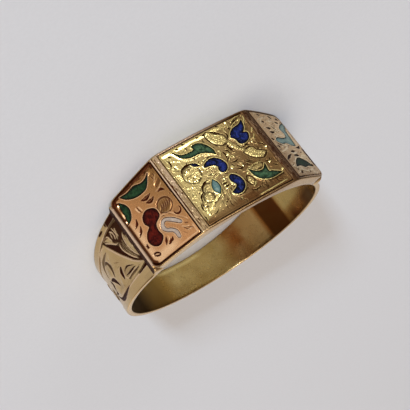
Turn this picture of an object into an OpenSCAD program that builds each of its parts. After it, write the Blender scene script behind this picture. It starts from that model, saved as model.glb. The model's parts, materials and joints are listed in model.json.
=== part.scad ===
// Half hoop ring with a three-facet head of inlaid gold plaques and enamel.
// The ring lies on one of its tapering sides. The origin is the centre of the finger hole,
// +Z is up from the surface, the head faces -Y and its left-hand end lies towards +X.

/* [Finger hole] */
// Diameter of the hole for the finger
finger_d = 17.8; // [16:0.2:20]

/* [Band] */
// Wall of the band at its plain borders
band_t = 0.45; // [0.4:0.05:0.6]
// Width of the band at the middle of its back
back_w = 3.1; // [2.8:0.1:3.6]
// Width of each plain border beside the carved field
border_w = 0.7; // [0.6:0.05:0.8]
// Depth of the carved field below its borders
field_t = 0.08; // [0.05:0.01:0.12]
// Angle from the middle of the head to where the carved field ends
field_end = 140; // [110:5:160]

/* [Head] */
// Width of the head across the finger
head_w = 7.3; // [7:0.1:8]
// Metal between the hole and the folds' level at the middle of the head
crown_t = 0.5; // [0.45:0.05:0.8]
// Length of the centre facet between its folds
mid_l = 8.7; // [8.4:0.1:9.2]
// Length of each sloping facet from its fold to the head's end
side_l = 5.1; // [5:0.1:5.5]
// Slope of the sloping facets
slope = 41; // [38:1:44]
// Lean of the head's end walls in towards the band
end_lean = 10; // [5:1:15]
// Radius of the slight crowning along each facet
dome_r = 47; // [40:1:60]

/* [Plaques] */
// Width of the plain lip left round the plaques
lip_w = 0.17; // [0.15:0.01:0.22]
// Width of the plain metal left beside each fold
web_w = 0.36; // [0.3:0.02:0.45]
// Depth of the pocket under each plaque, below the facet's chord
pocket_t = 0.25; // [0.2:0.01:0.28]
// Clearance round the edge of a plaque
plaque_gap = 0.05; // [0.03:0.01:0.08]
// Clearance under a plaque and under an enamel inlay
seat_gap = 0.02; // [0.01:0.005:0.03]
// Corner radius of a plaque at the head's end
end_corner_r = 0.6; // [0.3:0.1:0.9]
// Corner radius of a plaque beside a fold
fold_corner_r = 0.15; // [0.1:0.05:0.3]

/* [Enamel] */
// Depth of the floor of an enamel cell below the facet's chord
cell_t = 0.06; // [0.06:0.01:0.13]
// Clearance round the edge of an enamel inlay
cell_gap = 0.015; // [0.01:0.001:0.015]
// How far the enamel stays below the face of its plaque
enamel_sink = 0.015; // [0:0.005:0.03]

/* [Hidden] */

bore_r = finger_d / 2;
band_r = bore_r + band_t;
fold_x = mid_l / 2;
fold_y = bore_r + crown_t;
end_x = fold_x + side_l * cos(slope);
end_y = fold_y - side_l * sin(slope);
// The sides are two planes: how fast the half width grows with height, and the lean that follows
side_grow = (head_w - back_w) / 2 / (fold_y + bore_r);
side_lean = atan(side_grow);
// Extra length of every cutting form past what it cuts
past = 1;
round_fn = 360;

// Half the width of the ring at a height y above the centre of the hole
function half_w(y) = back_w / 2 + side_grow * (y + bore_r);

// Height of a facet's crown above its chord, for a facet of length l
function crown(l) = dome_r - sqrt(dome_r * dome_r - l * l / 4);

// The lower end of the right end wall, halfway into the band's wall
wall_dir = [-sin(end_lean), -cos(end_lean)];
wall_dot = end_x * wall_dir[0] + end_y * wall_dir[1];
wall_far = end_x * end_x + end_y * end_y - pow(bore_r + band_t / 2, 2);
wall_l = -wall_dot - sqrt(wall_dot * wall_dot - wall_far);

// An arc that rounds the corner b between a and c with radius r, as points
function corner(a, b, c, r, n = 5) =
  let (p = (a - b) / norm(a - b), q = (c - b) / norm(c - b),
       half = acos(max(-1, min(1, p * q))) / 2,
       centre = b + (p + q) / norm(p + q) * r / sin(half),
       from = b + p * r / tan(half) - centre, to = b + q * r / tan(half) - centre,
       start = atan2(from[1], from[0]),
       turn = let (d = atan2(to[1], to[0]) - start) d > 180 ? d - 360 : d < -180 ? d + 360 : d)
  [for (i = [0:n]) centre + r * [cos(start + turn * i / n), sin(start + turn * i / n)]];

// A smooth closed outline through the rows of a table, each row [u, s, tip]; a tip of 1 is sharp
function smooth(rows, n = 5) =
  let (m = len(rows), at = function (i) [rows[i % m][0], rows[i % m][1]],
       tip = function (i) rows[i % m][2] == 1)
  [for (i = [0:m - 1])
    let (a = at(i), b = at(i + 1),
         ta = tip(i) ? b - a : (b - at(i + m - 1)) / 2,
         tb = tip(i + 1) ? b - a : (at(i + 2) - a) / 2)
    for (j = [0:n - 1]) let (t = j / n)
      (2 * t * t * t - 3 * t * t + 1) * a + (t * t * t - 2 * t * t + t) * ta
      + (3 * t * t - 2 * t * t * t) * b + (t * t * t - t * t) * tb];

// An outline moved in by g, with mitred corners; its points run anticlockwise
function inset(pts, g) =
  let (m = len(pts), normal = function (a, b) [a[1] - b[1], b[0] - a[0]] / norm(b - a))
  [for (i = [0:m - 1])
    let (before = normal(pts[(i + m - 1) % m], pts[i]), after = normal(pts[i], pts[(i + 1) % m]))
    pts[i] + g * (before + after) / (1 + before * after)];

// A plaque's outline, moved in by g; side is -1 left, 0 centre, 1 right
// u runs along the hoop from left to right and s runs up to the far side
function plaque_outline(side, g) =
  side == 0
  ? let (u = fold_x - web_w - g, s = head_w / 2 - lip_w - g,
         p = [[-u, -s], [u, -s], [u, s], [-u, s]])
    [for (i = [0:3]) each corner(p[(i + 3) % 4], p[i], p[(i + 1) % 4], fold_corner_r)]
  : let (uf = side_l / 2 - web_w - g, ue = side_l / 2 - lip_w - g,
         sf = head_w / 2 - lip_w - g, se = half_w(end_y) - lip_w - g,
         p = [[-side * uf, -side * sf], [side * ue, -side * se],
              [side * ue, side * se], [-side * uf, side * sf]],
         r = [fold_corner_r, end_corner_r, end_corner_r, fold_corner_r])
    [for (i = [0:3]) each corner(p[(i + 3) % 4], p[i], p[(i + 1) % 4], r[i])];

// Enamel cells: rows of [u, s, tip] on their own facet, anticlockwise
leaf_upper_rows = [[-2.85, 3.05, 1], [-2.5, 2.35, 0], [-1.9, 2.03, 0], [-1.0, 1.95, 0],
                   [-0.4, 1.65, 0], [-0.03, 1.32, 1], [-0.02, 1.8, 0], [-0.3, 2.4, 0],
                   [-0.75, 2.78, 0], [-1.3, 2.78, 1], [-1.3, 2.45, 0], [-1.8, 2.42, 0],
                   [-2.4, 2.55, 0]];
leaf_lower_rows = [[1.38, -1.05, 1], [1.5, -1.75, 0], [1.9, -2.25, 0], [2.6, -2.5, 0],
                   [3.55, -2.45, 1], [3.0, -2.08, 0], [2.68, -1.9, 0], [2.78, -1.25, 1],
                   [2.5, -1.55, 0], [2.1, -1.6, 0], [1.7, -1.4, 0]];
petal_upper_rows = [[3.52, 2.9, 1], [3.1, 2.64, 0], [2.5, 2.55, 0], [2.1, 2.3, 0],
                    [1.85, 1.97, 1], [2.1, 1.65, 0], [2.2, 1.15, 0], [2.65, 1.07, 0],
                    [3.1, 1.3, 0], [3.28, 1.72, 0], [2.95, 1.9, 1], [3.3, 2.25, 0]];
petal_middle_rows = [[-1.45, 0.8, 0], [-1.1, 0.7, 0], [-0.72, 0.58, 0], [-0.52, 0.32, 0],
                     [-0.62, 0.05, 0], [-0.55, -0.2, 0], [-0.3, -0.3, 0], [0.02, -0.12, 0],
                     [0.15, 0.3, 0], [-0.05, 0.8, 0], [-0.5, 1.13, 0], [-1.1, 1.08, 0]];
petal_lower_rows = [[-0.05, -0.75, 0], [-0.33, -0.9, 0], [-0.36, -1.25, 0],
                    [-0.18, -1.65, 0], [-0.4, -1.9, 0], [-0.8, -2.08, 0], [-0.6, -2.35, 0],
                    [-0.15, -2.38, 0], [0.3, -2.05, 0], [0.44, -1.55, 0], [0.28, -1.05, 0]];
petal_small_rows = [[-2.25, 1.57, 1], [-2.1, 1.25, 0], [-1.72, 1.08, 1], [-1.9, 1.42, 0]];
turquoise_rows = [[-1.55, -0.38, 1], [-1.88, -0.8, 0], [-1.96, -1.25, 0],
                  [-1.72, -1.66, 1], [-1.42, -1.3, 0], [-1.36, -0.8, 0]];
leaf_long_rows = [[-1.4, 2.95, 1], [-1.05, 2.5, 0], [-0.5, 2.15, 0], [0.15, 2.0, 0],
                  [0.8, 2.1, 0], [1.5, 2.88, 1], [1.1, 2.68, 0], [0.6, 2.64, 0],
                  [0.0, 2.87, 0], [-0.7, 2.82, 0]];
leaf_short_rows = [[-1.8, 2.75, 1], [-1.93, 2.25, 0], [-1.98, 1.6, 0], [-2.12, 0.88, 1],
                   [-1.65, 1.1, 0], [-1.35, 1.65, 0], [-1.42, 2.2, 0]];
berries_rows = [[-0.3, 0.73, 0], [-0.83, 0.52, 0], [-1.02, 0.05, 0], [-0.87, -0.42, 0],
                [-1.28, -0.68, 0], [-1.6, -1.2, 0], [-1.42, -1.78, 0], [-0.95, -2.02, 0],
                [-0.42, -1.68, 0], [-0.46, -1.1, 0], [-0.28, -0.58, 0],
                [0.32, -0.25, 0], [0.3, 0.38, 0]];
bud_rows = [[0.4, -0.68, 0], [-0.02, -0.85, 0], [-0.18, -1.25, 0], [0.05, -1.65, 0],
            [0.42, -2.0, 0], [0.5, -2.6, 0], [0.72, -2.62, 0], [0.78, -2.1, 0],
            [0.5, -1.68, 0], [0.17, -1.4, 0], [0.2, -1.05, 0], [0.45, -0.95, 0],
            [0.8, -1.3, 0], [1.32, -1.85, 0], [1.46, -1.7, 0], [1.0, -1.05, 0]];
scroll_rows = [[2.25, 2.3, 0], [1.5, 2.05, 0], [0.85, 1.62, 0], [1.0, 1.15, 0],
               [0.75, 0.72, 0], [0.0, 0.58, 0], [-0.8, 0.62, 0], [-1.3, 0.3, 0],
               [-0.7, 0.02, 0], [0.1, 0.1, 0], [0.7, -0.12, 0], [1.35, -0.1, 0],
               [1.55, 0.6, 0], [1.7, 1.4, 0], [2.2, 1.95, 0]];
right_leaf_rows = [[-1.3, -2.35, 1], [-0.6, -2.25, 0], [0.1, -2.4, 0], [0.8, -2.25, 0],
                   [1.6, -2.3, 1], [1.2, -1.85, 0], [0.6, -1.6, 0], [0.0, -1.5, 0],
                   [-0.7, -1.8, 0]];

left_cells = [leaf_long_rows, leaf_short_rows, berries_rows, bud_rows];
centre_cells = [leaf_upper_rows, leaf_lower_rows, petal_upper_rows, petal_middle_rows,
                petal_lower_rows, petal_small_rows, turquoise_rows];
right_cells = [scroll_rows, right_leaf_rows];

// From the upright ring, with its head at +Y and the hole along Z, to how it lies
module lay() {
  rotate([0, 0, 180]) rotate([side_lean, 0, 0]) children();
}

// A facet's own frame: u along x, s along y and out of the metal along z
module on_facet(side) {
  x = side * (fold_x + end_x) / 2;
  y = side == 0 ? fold_y : (fold_y + end_y) / 2;
  translate([x, y, 0]) rotate([0, 0, -side * slope]) rotate([-90, 0, 0]) children();
}

// The round form that crowns a facet; sink lowers it below the facet's face
module dome(side, sink = 0) {
  l = side == 0 ? mid_l : side_l;
  translate([0, 0, crown(l) - dome_r])
    rotate([90, 0, 0]) cylinder(r = dome_r - sink, h = head_w + 2 * past, center = true,
                                $fn = round_fn);
}

// All that lies between the two tapering sides, each moved in by g
module between_sides(g = 0) {
  low = -band_r - past;
  high = fold_y + 2 * past;
  rotate([90, 0, 90]) linear_extrude(height = 4 * band_r, center = true)
    polygon([[low, -half_w(low) + g], [high, -half_w(high) + g],
             [high, half_w(high) - g], [low, half_w(low) - g]]);
}

// The head's block, open upwards before its domes cut it
module head_block() {
  top = [end_x - past * wall_dir[0], end_y - past * wall_dir[1]];
  foot = [end_x + wall_l * wall_dir[0], end_y + wall_l * wall_dir[1]];
  high = fold_y + past;
  linear_extrude(height = head_w + 4 * past, center = true)
    polygon([[0, 0], foot, top, [top[0], high], [-top[0], high], [-top[0], top[1]],
             [-foot[0], foot[1]]]);
}

// The block cut by the three facets' domes
module head_body() {
  intersection() {
    head_block();
    on_facet(-1) dome(-1);
    on_facet(0) dome(0);
    on_facet(1) dome(1);
  }
}

// The shallow field between the borders, from the head's ends round to the plain back
module carved_field() {
  reach = 2 * band_r;
  intersection() {
    difference() {
      cylinder(r = band_r + past, h = head_w, center = true, $fn = round_fn);
      cylinder(r = band_r - field_t, h = head_w + past, center = true, $fn = round_fn);
      head_block();
    }
    between_sides(border_w);
    linear_extrude(height = head_w, center = true)
      polygon([[0, 0], reach * [-sin(field_end), cos(field_end)], [-reach, reach],
               [reach, reach], reach * [sin(field_end), cos(field_end)]]);
  }
}

module hoop() {
  color("goldenrod") lay() difference() {
    intersection() {
      union() {
        cylinder(r = band_r, h = head_w + past, center = true, $fn = round_fn);
        head_body();
      }
      between_sides();
    }
    cylinder(d = finger_d, h = head_w + 2 * past, center = true, $fn = round_fn);
    carved_field();
    for (side = [-1, 0, 1])
      on_facet(side) translate([0, 0, -pocket_t])
        linear_extrude(height = pocket_t + past) polygon(plaque_outline(side, 0));
  }
}

// A sheet plaque in its pocket, with a cell for each row table in cells
module plaque(side, cells) {
  lay() on_facet(side) difference() {
    intersection() {
      translate([0, 0, seat_gap - pocket_t])
        linear_extrude(height = pocket_t + past) polygon(plaque_outline(side, plaque_gap));
      dome(side);
    }
    for (rows = cells)
      translate([0, 0, -cell_t]) linear_extrude(height = cell_t + past) polygon(smooth(rows));
  }
}

// Enamel that fills one cell to just below the face of its plaque
module enamel(side, rows) {
  lay() on_facet(side) intersection() {
    translate([0, 0, seat_gap - cell_t])
      linear_extrude(height = cell_t + past) polygon(inset(smooth(rows), cell_gap));
    dome(side, enamel_sink);
  }
}

module centre_plaque() { color("gold") plaque(0, centre_cells); }
module left_plaque() { color("sandybrown") plaque(-1, left_cells); }
module right_plaque() { color("sandybrown") plaque(1, right_cells); }

module centre_leaf_upper() { color("darkgreen") enamel(0, leaf_upper_rows); }
module centre_leaf_lower() { color("darkgreen") enamel(0, leaf_lower_rows); }
module blue_petal_upper() { color("navy") enamel(0, petal_upper_rows); }
module blue_petal_middle() { color("navy") enamel(0, petal_middle_rows); }
module blue_petal_lower() { color("navy") enamel(0, petal_lower_rows); }
module blue_petal_small() { color("navy") enamel(0, petal_small_rows); }
module turquoise_petal() { color("cadetblue") enamel(0, turquoise_rows); }
module left_leaf_long() { color("darkgreen") enamel(-1, leaf_long_rows); }
module left_leaf_short() { color("darkgreen") enamel(-1, leaf_short_rows); }
module left_berries() { color("darkred") enamel(-1, berries_rows); }
module left_bud() { color("white") enamel(-1, bud_rows); }
module right_scroll() { color("cadetblue") enamel(1, scroll_rows); }
module right_leaf() { color("darkgreen") enamel(1, right_leaf_rows); }

hoop();
centre_plaque();
left_plaque();
right_plaque();
centre_leaf_upper();
centre_leaf_lower();
blue_petal_upper();
blue_petal_middle();
blue_petal_lower();
blue_petal_small();
turquoise_petal();
left_leaf_long();
left_leaf_short();
left_berries();
left_bud();
right_scroll();
right_leaf();
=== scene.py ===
import json
import math

import bmesh
import bpy
import numpy as np
from mathutils import Matrix, Vector
from mathutils.geometry import delaunay_2d_cdt


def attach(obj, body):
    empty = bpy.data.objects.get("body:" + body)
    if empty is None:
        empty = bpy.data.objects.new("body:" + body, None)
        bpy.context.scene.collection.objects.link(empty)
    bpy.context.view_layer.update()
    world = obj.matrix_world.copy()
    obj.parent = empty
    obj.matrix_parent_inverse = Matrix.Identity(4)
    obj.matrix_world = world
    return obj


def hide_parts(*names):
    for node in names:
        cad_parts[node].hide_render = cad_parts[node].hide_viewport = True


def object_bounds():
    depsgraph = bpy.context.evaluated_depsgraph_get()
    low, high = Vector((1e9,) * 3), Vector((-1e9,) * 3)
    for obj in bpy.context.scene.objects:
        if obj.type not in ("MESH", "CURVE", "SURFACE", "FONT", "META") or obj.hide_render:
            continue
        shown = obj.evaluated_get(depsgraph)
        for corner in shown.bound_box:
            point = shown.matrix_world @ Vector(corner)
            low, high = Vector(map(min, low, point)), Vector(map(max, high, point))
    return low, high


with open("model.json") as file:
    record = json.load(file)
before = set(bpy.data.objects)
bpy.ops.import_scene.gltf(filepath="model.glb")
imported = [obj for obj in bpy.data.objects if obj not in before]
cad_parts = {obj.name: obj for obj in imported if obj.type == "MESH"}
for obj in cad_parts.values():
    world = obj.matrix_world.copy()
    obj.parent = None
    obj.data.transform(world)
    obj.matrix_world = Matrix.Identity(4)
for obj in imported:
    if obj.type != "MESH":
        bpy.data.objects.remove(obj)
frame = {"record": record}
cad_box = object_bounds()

# Camera
# A long lens about 10 cm away, held above the table and turned over on its own axis, so the
# ring's head shows at the top left and the resting side is farther off than the other one.
MM = 0.001
CAMERA_AT_MM = Vector((40.771, -87.818, 43.445))
CAMERA_AIM_MM = Vector((-0.660, -0.988, -1.306))
CAMERA_ROLL = math.radians(-139.981)
LENS_MM = 113.888
SENSOR_MM = 36

looking = (CAMERA_AIM_MM - CAMERA_AT_MM).normalized()
level_right = looking.cross(Vector((0, 0, 1))).normalized()
level_up = level_right.cross(looking)
image_up = math.cos(CAMERA_ROLL) * level_up + math.sin(CAMERA_ROLL) * level_right
image_right = looking.cross(image_up)
lens = bpy.data.cameras.new("camera")
lens.lens = LENS_MM
lens.sensor_width = SENSOR_MM
lens.clip_start = 0.01
camera = bpy.data.objects.new("camera", lens)
camera_turn = Matrix((image_right, image_up, -looking)).transposed().to_4x4()
camera.matrix_world = Matrix.Translation(CAMERA_AT_MM * MM) @ camera_turn
bpy.context.scene.collection.objects.link(camera)
bpy.context.scene.camera = camera
bpy.context.scene.view_settings.view_transform = "Standard"

# Table
# A sheet of plain pale card, cut round, that the ring lies on. It is the setting and no part
# of the ring. Its fibres are drawn coarser than real ones, so that they show.
CARD_COLOUR = "#D3D7DA"
CARD_FIBRE_COLOUR = "#D9DDE0"
CARD_FIBRE_MM = 0.25
CARD_R_M = 0.5


def linear(code):
    """An sRGB hex colour as linear RGBA."""
    parts = [int(code[i:i + 2], 16) / 255 for i in (1, 3, 5)]
    return [c / 12.92 if c <= 0.04045 else ((c + 0.055) / 1.055) ** 2.4 for c in parts] + [1]


def node(tree, kind, inputs=None, **settings):
    """Adds a shader node; an input is a value or the socket that feeds it."""
    made = tree.nodes.new("ShaderNode" + kind)
    for name, value in settings.items():
        setattr(made, name, value)
    for name, value in (inputs or {}).items():
        if isinstance(value, bpy.types.NodeSocket):
            tree.links.new(value, made.inputs[name])
        else:
            made.inputs[name].default_value = value
    return made


def material(name):
    """A new material with an empty node tree, and that tree."""
    made = bpy.data.materials.new(name)
    made.use_nodes = True
    made.node_tree.nodes.clear()
    return made, made.node_tree


def mesh_object(name, points, faces, paint):
    """An object of these points in metres and faces, smooth shaded, with one material."""
    mesh = bpy.data.meshes.new(name)
    mesh.from_pydata([tuple(p) for p in points], [], faces)
    mesh.shade_smooth()
    mesh.materials.append(paint)
    made = bpy.data.objects.new(name, mesh)
    bpy.context.scene.collection.objects.link(made)
    return made


# Coated card scatters light evenly, so the ground is matt and nearly one tone, with only the
# faint tooth of its fibres.
card, tree = material("pale card, matt coated")
place = node(tree, "TexCoord").outputs["Object"]
fibre = node(tree, "TexNoise", {"Vector": place, "Scale": 1 / (CARD_FIBRE_MM * MM), "Detail": 3})
tint = node(tree, "Mix", {"Factor": fibre.outputs["Fac"], "A": linear(CARD_COLOUR),
                          "B": linear(CARD_FIBRE_COLOUR)}, data_type="RGBA")
tooth = node(tree, "Bump", {"Height": fibre.outputs["Fac"], "Strength": 0.08, "Distance": 0.02 * MM})
shader = node(tree, "BsdfPrincipled", {"Base Color": tint.outputs["Result"], "Roughness": 0.85,
                                       "Specular IOR Level": 0.2, "Normal": tooth.outputs["Normal"]})
node(tree, "OutputMaterial", {"Surface": shader.outputs["BSDF"]})

around = np.linspace(0, 2 * math.pi, 96, endpoint=False)
rim = np.stack([CARD_R_M * np.cos(around), CARD_R_M * np.sin(around), 0 * around + cad_box[0].z], 1)
table = mesh_object("table", rim, [list(range(len(rim)))], card)

# Lights
# Soft boxes in a dim warm room: one overhead, one high in front, a small cool one low down
# that throws the shadow, and a long low one that glitters in the carving. The wall behind the
# ring is pale, so that its filed side shines.
ROOM_LOW_COLOUR = "#3E3630"
ROOM_HIGH_COLOUR = "#84726C"
PALE_WALL_COLOUR = "#EDE2D6"


def soft_box(name, azimuth, elevation, away, size, power, colour):
    """A lamp that faces the ring; azimuth runs from the head's front towards +X, in degrees."""
    turn, lift = math.radians(azimuth), math.radians(elevation)
    lamp = bpy.data.lights.new(name, "AREA")
    lamp.shape = "RECTANGLE"
    lamp.size, lamp.size_y = size
    lamp.energy = power
    lamp.color = linear(colour)[:3]
    made = bpy.data.objects.new(name, lamp)
    made.location = away * Vector((math.sin(turn) * math.cos(lift), -math.cos(turn) * math.cos(lift),
                                   math.sin(lift)))
    made.rotation_euler = made.location.to_track_quat("Z", "Y").to_euler()
    bpy.context.scene.collection.objects.link(made)


soft_box("overhead box", azimuth=150, elevation=76, away=0.7, size=(0.4, 0.4), power=2.2,
         colour="#FFF6EE")
soft_box("high box", azimuth=28, elevation=40, away=1.6, size=(0.46, 0.46), power=4.4, colour="#FFF8F2")
soft_box("low box", azimuth=26, elevation=11, away=1.6, size=(0.14, 0.14), power=32, colour="#D8EAFF")
soft_box("glitter box", azimuth=-14, elevation=7, away=0.7, size=(0.28, 0.1), power=1.0,
         colour="#F2F5FF")
world = bpy.data.worlds.new("room")
bpy.context.scene.world = world
world.use_nodes = True
room = world.node_tree
room.nodes.clear()
facing = node(room, "SeparateXYZ", {"Vector": node(room, "TexCoord").outputs["Generated"]})
height = node(room, "MapRange", {"Value": facing.outputs["Z"], "From Min": 0.0, "From Max": 0.9})
shade = node(room, "Mix", {"Factor": height.outputs["Result"], "A": linear(ROOM_LOW_COLOUR),
                           "B": linear(ROOM_HIGH_COLOUR)}, data_type="RGBA")
behind = node(room, "MapRange", {"Value": facing.outputs["Y"], "From Min": 0.55, "From Max": 0.95})
wall = node(room, "Mix", {"Factor": behind.outputs["Result"], "A": shade.outputs["Result"],
                          "B": linear(PALE_WALL_COLOUR)}, data_type="RGBA")
air = node(room, "Background", {"Color": wall.outputs["Result"]})
node(room, "OutputWorld", {"Surface": air.outputs["Background"]})

# Hoop
# The band and the head's frame, one piece of yellow gold rolled, bent and soldered, then
# filed to flat tapering sides. Its shoulders are carved by hand between plain borders, and
# the head has a pocket with a thin lip in each of its three facets.

# All in mm. A fold is where the middle facet meets a sloping one, and an end where that meets
# the steep end wall. The web is the metal between two pockets. The carving is drawn along a
# circle of CARVED_R as far as CARVED_END, and what is ELSEWHERE is off every drawing.
BORE_R = frame["record"]["mounts"][0]["dims"]["r_mm"]
BAND_R = BORE_R + 0.45
BACK_W = 3.1
HEAD_W = 7.3
FOLD_X = 4.35
FOLD_Y = BORE_R + 0.5
SIDE_L = 5.1
SLOPE = math.radians(41)
END_LEAN = math.radians(10)
DOME_R = 47
LIP_W = 0.17
WEB_W = 0.36
POCKET_T = 0.25
END_CORNER_R = 0.6
FOLD_CORNER_R = 0.15
OUTER_EDGE_R = 0.1
INNER_EDGE_R = 0.07
OUTLINE_STEP = 0.01
CARVED_R = 9.3
CARVED_END = 22.8
ELSEWHERE = 99.0
# The head's three facets, then the rest of the outline, which counts below 0 on the left side.
LEFT, CENTRE, RIGHT = -1, 0, 1
END_WALL, BAND = 2, 3

END_X = FOLD_X + SIDE_L * math.cos(SLOPE)
END_Y = FOLD_Y - SIDE_L * math.sin(SLOPE)
SIDE_GROW = (HEAD_W - BACK_W) / 2 / (FOLD_Y + BORE_R)
SIDE_LEAN = math.atan(SIDE_GROW)


def half_w(y):
    """Half the hoop's width at a height above the centre of the hole."""
    return BACK_W / 2 + SIDE_GROW * (y + BORE_R)


def lay(x, y, z):
    """From the upright ring in mm, head at +Y and the hole along Z, to how it lies, in metres."""
    c, s = math.cos(SIDE_LEAN), math.sin(SIDE_LEAN)
    return np.stack([-x, -(y * c - z * s), y * s + z * c], -1) * MM


def facet_length(side):
    """The length of a facet along the hoop."""
    return SIDE_L if side else 2 * FOLD_X


def dome(u, length):
    """How high a facet is crowned above its chord."""
    return np.sqrt(DOME_R ** 2 - u ** 2) - math.sqrt(DOME_R ** 2 - length ** 2 / 4)


def facet_half_w(side, u):
    """Half the width of a facet at u, which runs along the hoop from left to right."""
    if side == CENTRE:
        return half_w(FOLD_Y) + 0 * u
    return half_w((FOLD_Y + END_Y) / 2 - side * u * math.sin(SLOPE))


def inside(side, u, s, gap):
    """How far a point is inside the outline of a facet's pocket, moved in by gap."""
    half = facet_length(side) / 2
    if side == CENTRE:
        along, radius = half - WEB_W - gap - np.abs(u), FOLD_CORNER_R
    else:
        to_end, to_fold = half - LIP_W - gap - side * u, half - WEB_W - gap + side * u
        along = np.minimum(to_end, to_fold)
        radius = np.where(to_end < to_fold, END_CORNER_R, FOLD_CORNER_R)
    across = facet_half_w(side, u) - LIP_W - gap - np.abs(s)
    in_corner = (along < radius) & (across < radius)
    rounded = radius - np.hypot(radius - along, radius - across)
    return np.where(in_corner, rounded, np.minimum(along, across))


def ramp(x, start, end):
    """0 up to start and 1 from end on; it falls when end is the smaller."""
    return ((x - start) / (end - start)).clip(0, 1)


def ridge(x, middle, half):
    """1 at the middle, and 0 from half a width on."""
    return (1 - np.abs(x - middle) / half).clip(0, 1)


def ease(x):
    """A ramp from 0 to 1 with soft ends."""
    return x * x * (3 - 2 * x)


def smooth(rows, count=6, closed=True):
    """A smooth line through points (u, s) or (u, s, 1), where the 1 marks a sharp tip."""
    at = [np.array(row[:2], float) for row in rows]
    tip = [len(row) > 2 and row[2] == 1 for row in rows]
    if not closed:
        tip[0] = tip[-1] = True
    total = len(at)
    line = []
    for i in range(total if closed else total - 1):
        a, b = at[i], at[(i + 1) % total]
        leave = b - a if tip[i] else (b - at[i - 1]) / 2
        arrive = b - a if tip[(i + 1) % total] else (at[(i + 2) % total] - a) / 2
        for t in np.arange(count) / count:
            line.append((2 * t ** 3 - 3 * t ** 2 + 1) * a + (t ** 3 - 2 * t ** 2 + t) * leave
                        + (3 * t ** 2 - 2 * t ** 3) * b + (t ** 3 - t ** 2) * arrive)
    if not closed:
        line.append(at[-1])
    return np.array(line)


def nearest(u, s, line, reach, closed=True):
    """Distance from every point of a surface to a line, within reach, and how far along."""
    far = np.full(u.shape, ELSEWHERE)
    along = np.zeros(u.shape)
    low, high = line.min(0) - reach, line.max(0) + reach
    near = (u > low[0]) & (u < high[0]) & (s > low[1]) & (s < high[1])
    pu, ps = u[near], s[near]
    best, where = np.full(pu.shape, ELSEWHERE), np.zeros(pu.shape)
    ends = np.roll(line, -1, 0) if closed else line[1:]
    lengths = np.hypot(*(ends - line[:len(ends)]).T)
    start = np.concatenate([[0], np.cumsum(lengths)])
    for a, b, length, before in zip(line, ends, lengths, start):
        if length == 0:
            continue
        d = (b - a) / length
        t = np.clip((pu - a[0]) * d[0] + (ps - a[1]) * d[1], 0, length)
        gap = np.hypot(pu - a[0] - t * d[0], ps - a[1] - t * d[1])
        closer = gap < best
        best = np.where(closer, gap, best)
        where = np.where(closer, (before + t) / start[-1], where)
    far[near], along[near] = best, where
    return far, along


def within(u, s, line):
    """Which points of a surface lie inside a closed line."""
    odd = np.zeros(u.shape, bool)
    for a, b in zip(line, np.roll(line, -1, 0)):
        if a[1] == b[1]:
            continue
        spans = (s >= min(a[1], b[1])) & (s < max(a[1], b[1]))
        crossing = a[0] + (s - a[1]) * (b[0] - a[0]) / (b[1] - a[1])
        odd ^= spans & (u < crossing)
    return odd


def bare(u, s, **more):
    """A plain surface: u runs along it and s across, with its height, its wear and its painted shade and
    highlights still at nothing.
    """
    return {"u": u, "s": s, "h": np.zeros(u.shape), "dirt_and_shade": np.zeros(u.shape),
            "rubbed_and_highlight": np.zeros(u.shape), **more}


def darken(relief, amount):
    """Darkens a surface: grime that has settled on it in some places, painted shade in others."""
    relief["dirt_and_shade"] = np.maximum(relief["dirt_and_shade"], amount)


def brighten(relief, amount):
    """Lightens a surface: metal rubbed bright in some places, a painted highlight in others."""
    relief["rubbed_and_highlight"] = np.maximum(relief["rubbed_and_highlight"], amount)


def cut(relief, points, width, depth, closed=False, grime=1.0):
    """A graver's cut: a V groove that swells and fades at both ends, with a thin bright burr."""
    far, along = nearest(relief["u"], relief["s"], smooth(points, closed=closed), width, closed)
    fade = 1 if closed else (2 * np.minimum(along, 1 - along)).clip(0, 1) ** 0.6
    reach = far / (width / 2 * fade + 1e-6)
    burr = ridge(reach, 1.45, 0.3) * (width * fade > 0.08)
    relief["h"] -= fade * depth * ((1 - reach).clip(0, 1) - 0.05 * burr)
    darken(relief, grime * ramp(reach, 1.2, 0.95) * (fade > 0.02))
    brighten(relief, 0.5 * grime * burr)


def bead(relief, points, width, rise, dots=0, shine=0.6):
    """A raised rounded line, rubbed clean and lightened by its shine, which also paints a highlight along
    it, or a row of dots when dots is their number.
    """
    far, along = nearest(relief["u"], relief["s"], smooth(points, closed=False), width, False)
    fade = np.minimum(1, 8 * np.minimum(along, 1 - along))
    if dots:
        fade = fade * (0.35 + 0.65 * np.abs(np.sin(math.pi * dots * along)))
    across = (1 - (far / (width / 2)) ** 2).clip(0, 1)
    relief["h"] += rise * fade * np.sqrt(across)
    relief["dirt_and_shade"] *= 1 - (2 * across).clip(0, 1) * fade * min(1, 0.2 + 2 * shine)
    brighten(relief, shine * fade * (1.5 * across).clip(0, 1))


def plateau(relief, points, rise, edge):
    """Raises or lowers all that lies inside an outline, with a sloping edge; says where it is."""
    line = smooth(points)
    far, _ = nearest(relief["u"], relief["s"], line, edge * 1.5)
    inner = within(relief["u"], relief["s"], line)
    lift = ease(np.where(inner, np.minimum(far, edge), 0) / edge)
    relief["h"] += rise * lift
    return lift


def hollow(relief, points, depth, edge, grime, spread=2):
    """A patch cut away whole, and dark from near its rim, the nearer the wider its spread."""
    darken(relief, grime * (spread * plateau(relief, points, -depth, edge)).clip(0, 1))


def shade_in(relief, points, edge, strength):
    """Darkens all that lies inside an outline, fading at its edge."""
    line = smooth(points)
    far, _ = nearest(relief["u"], relief["s"], line, edge * 1.5)
    inner = within(relief["u"], relief["s"], line)
    darken(relief, strength * np.where(inner, np.minimum(far, edge) / edge, 0))


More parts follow.
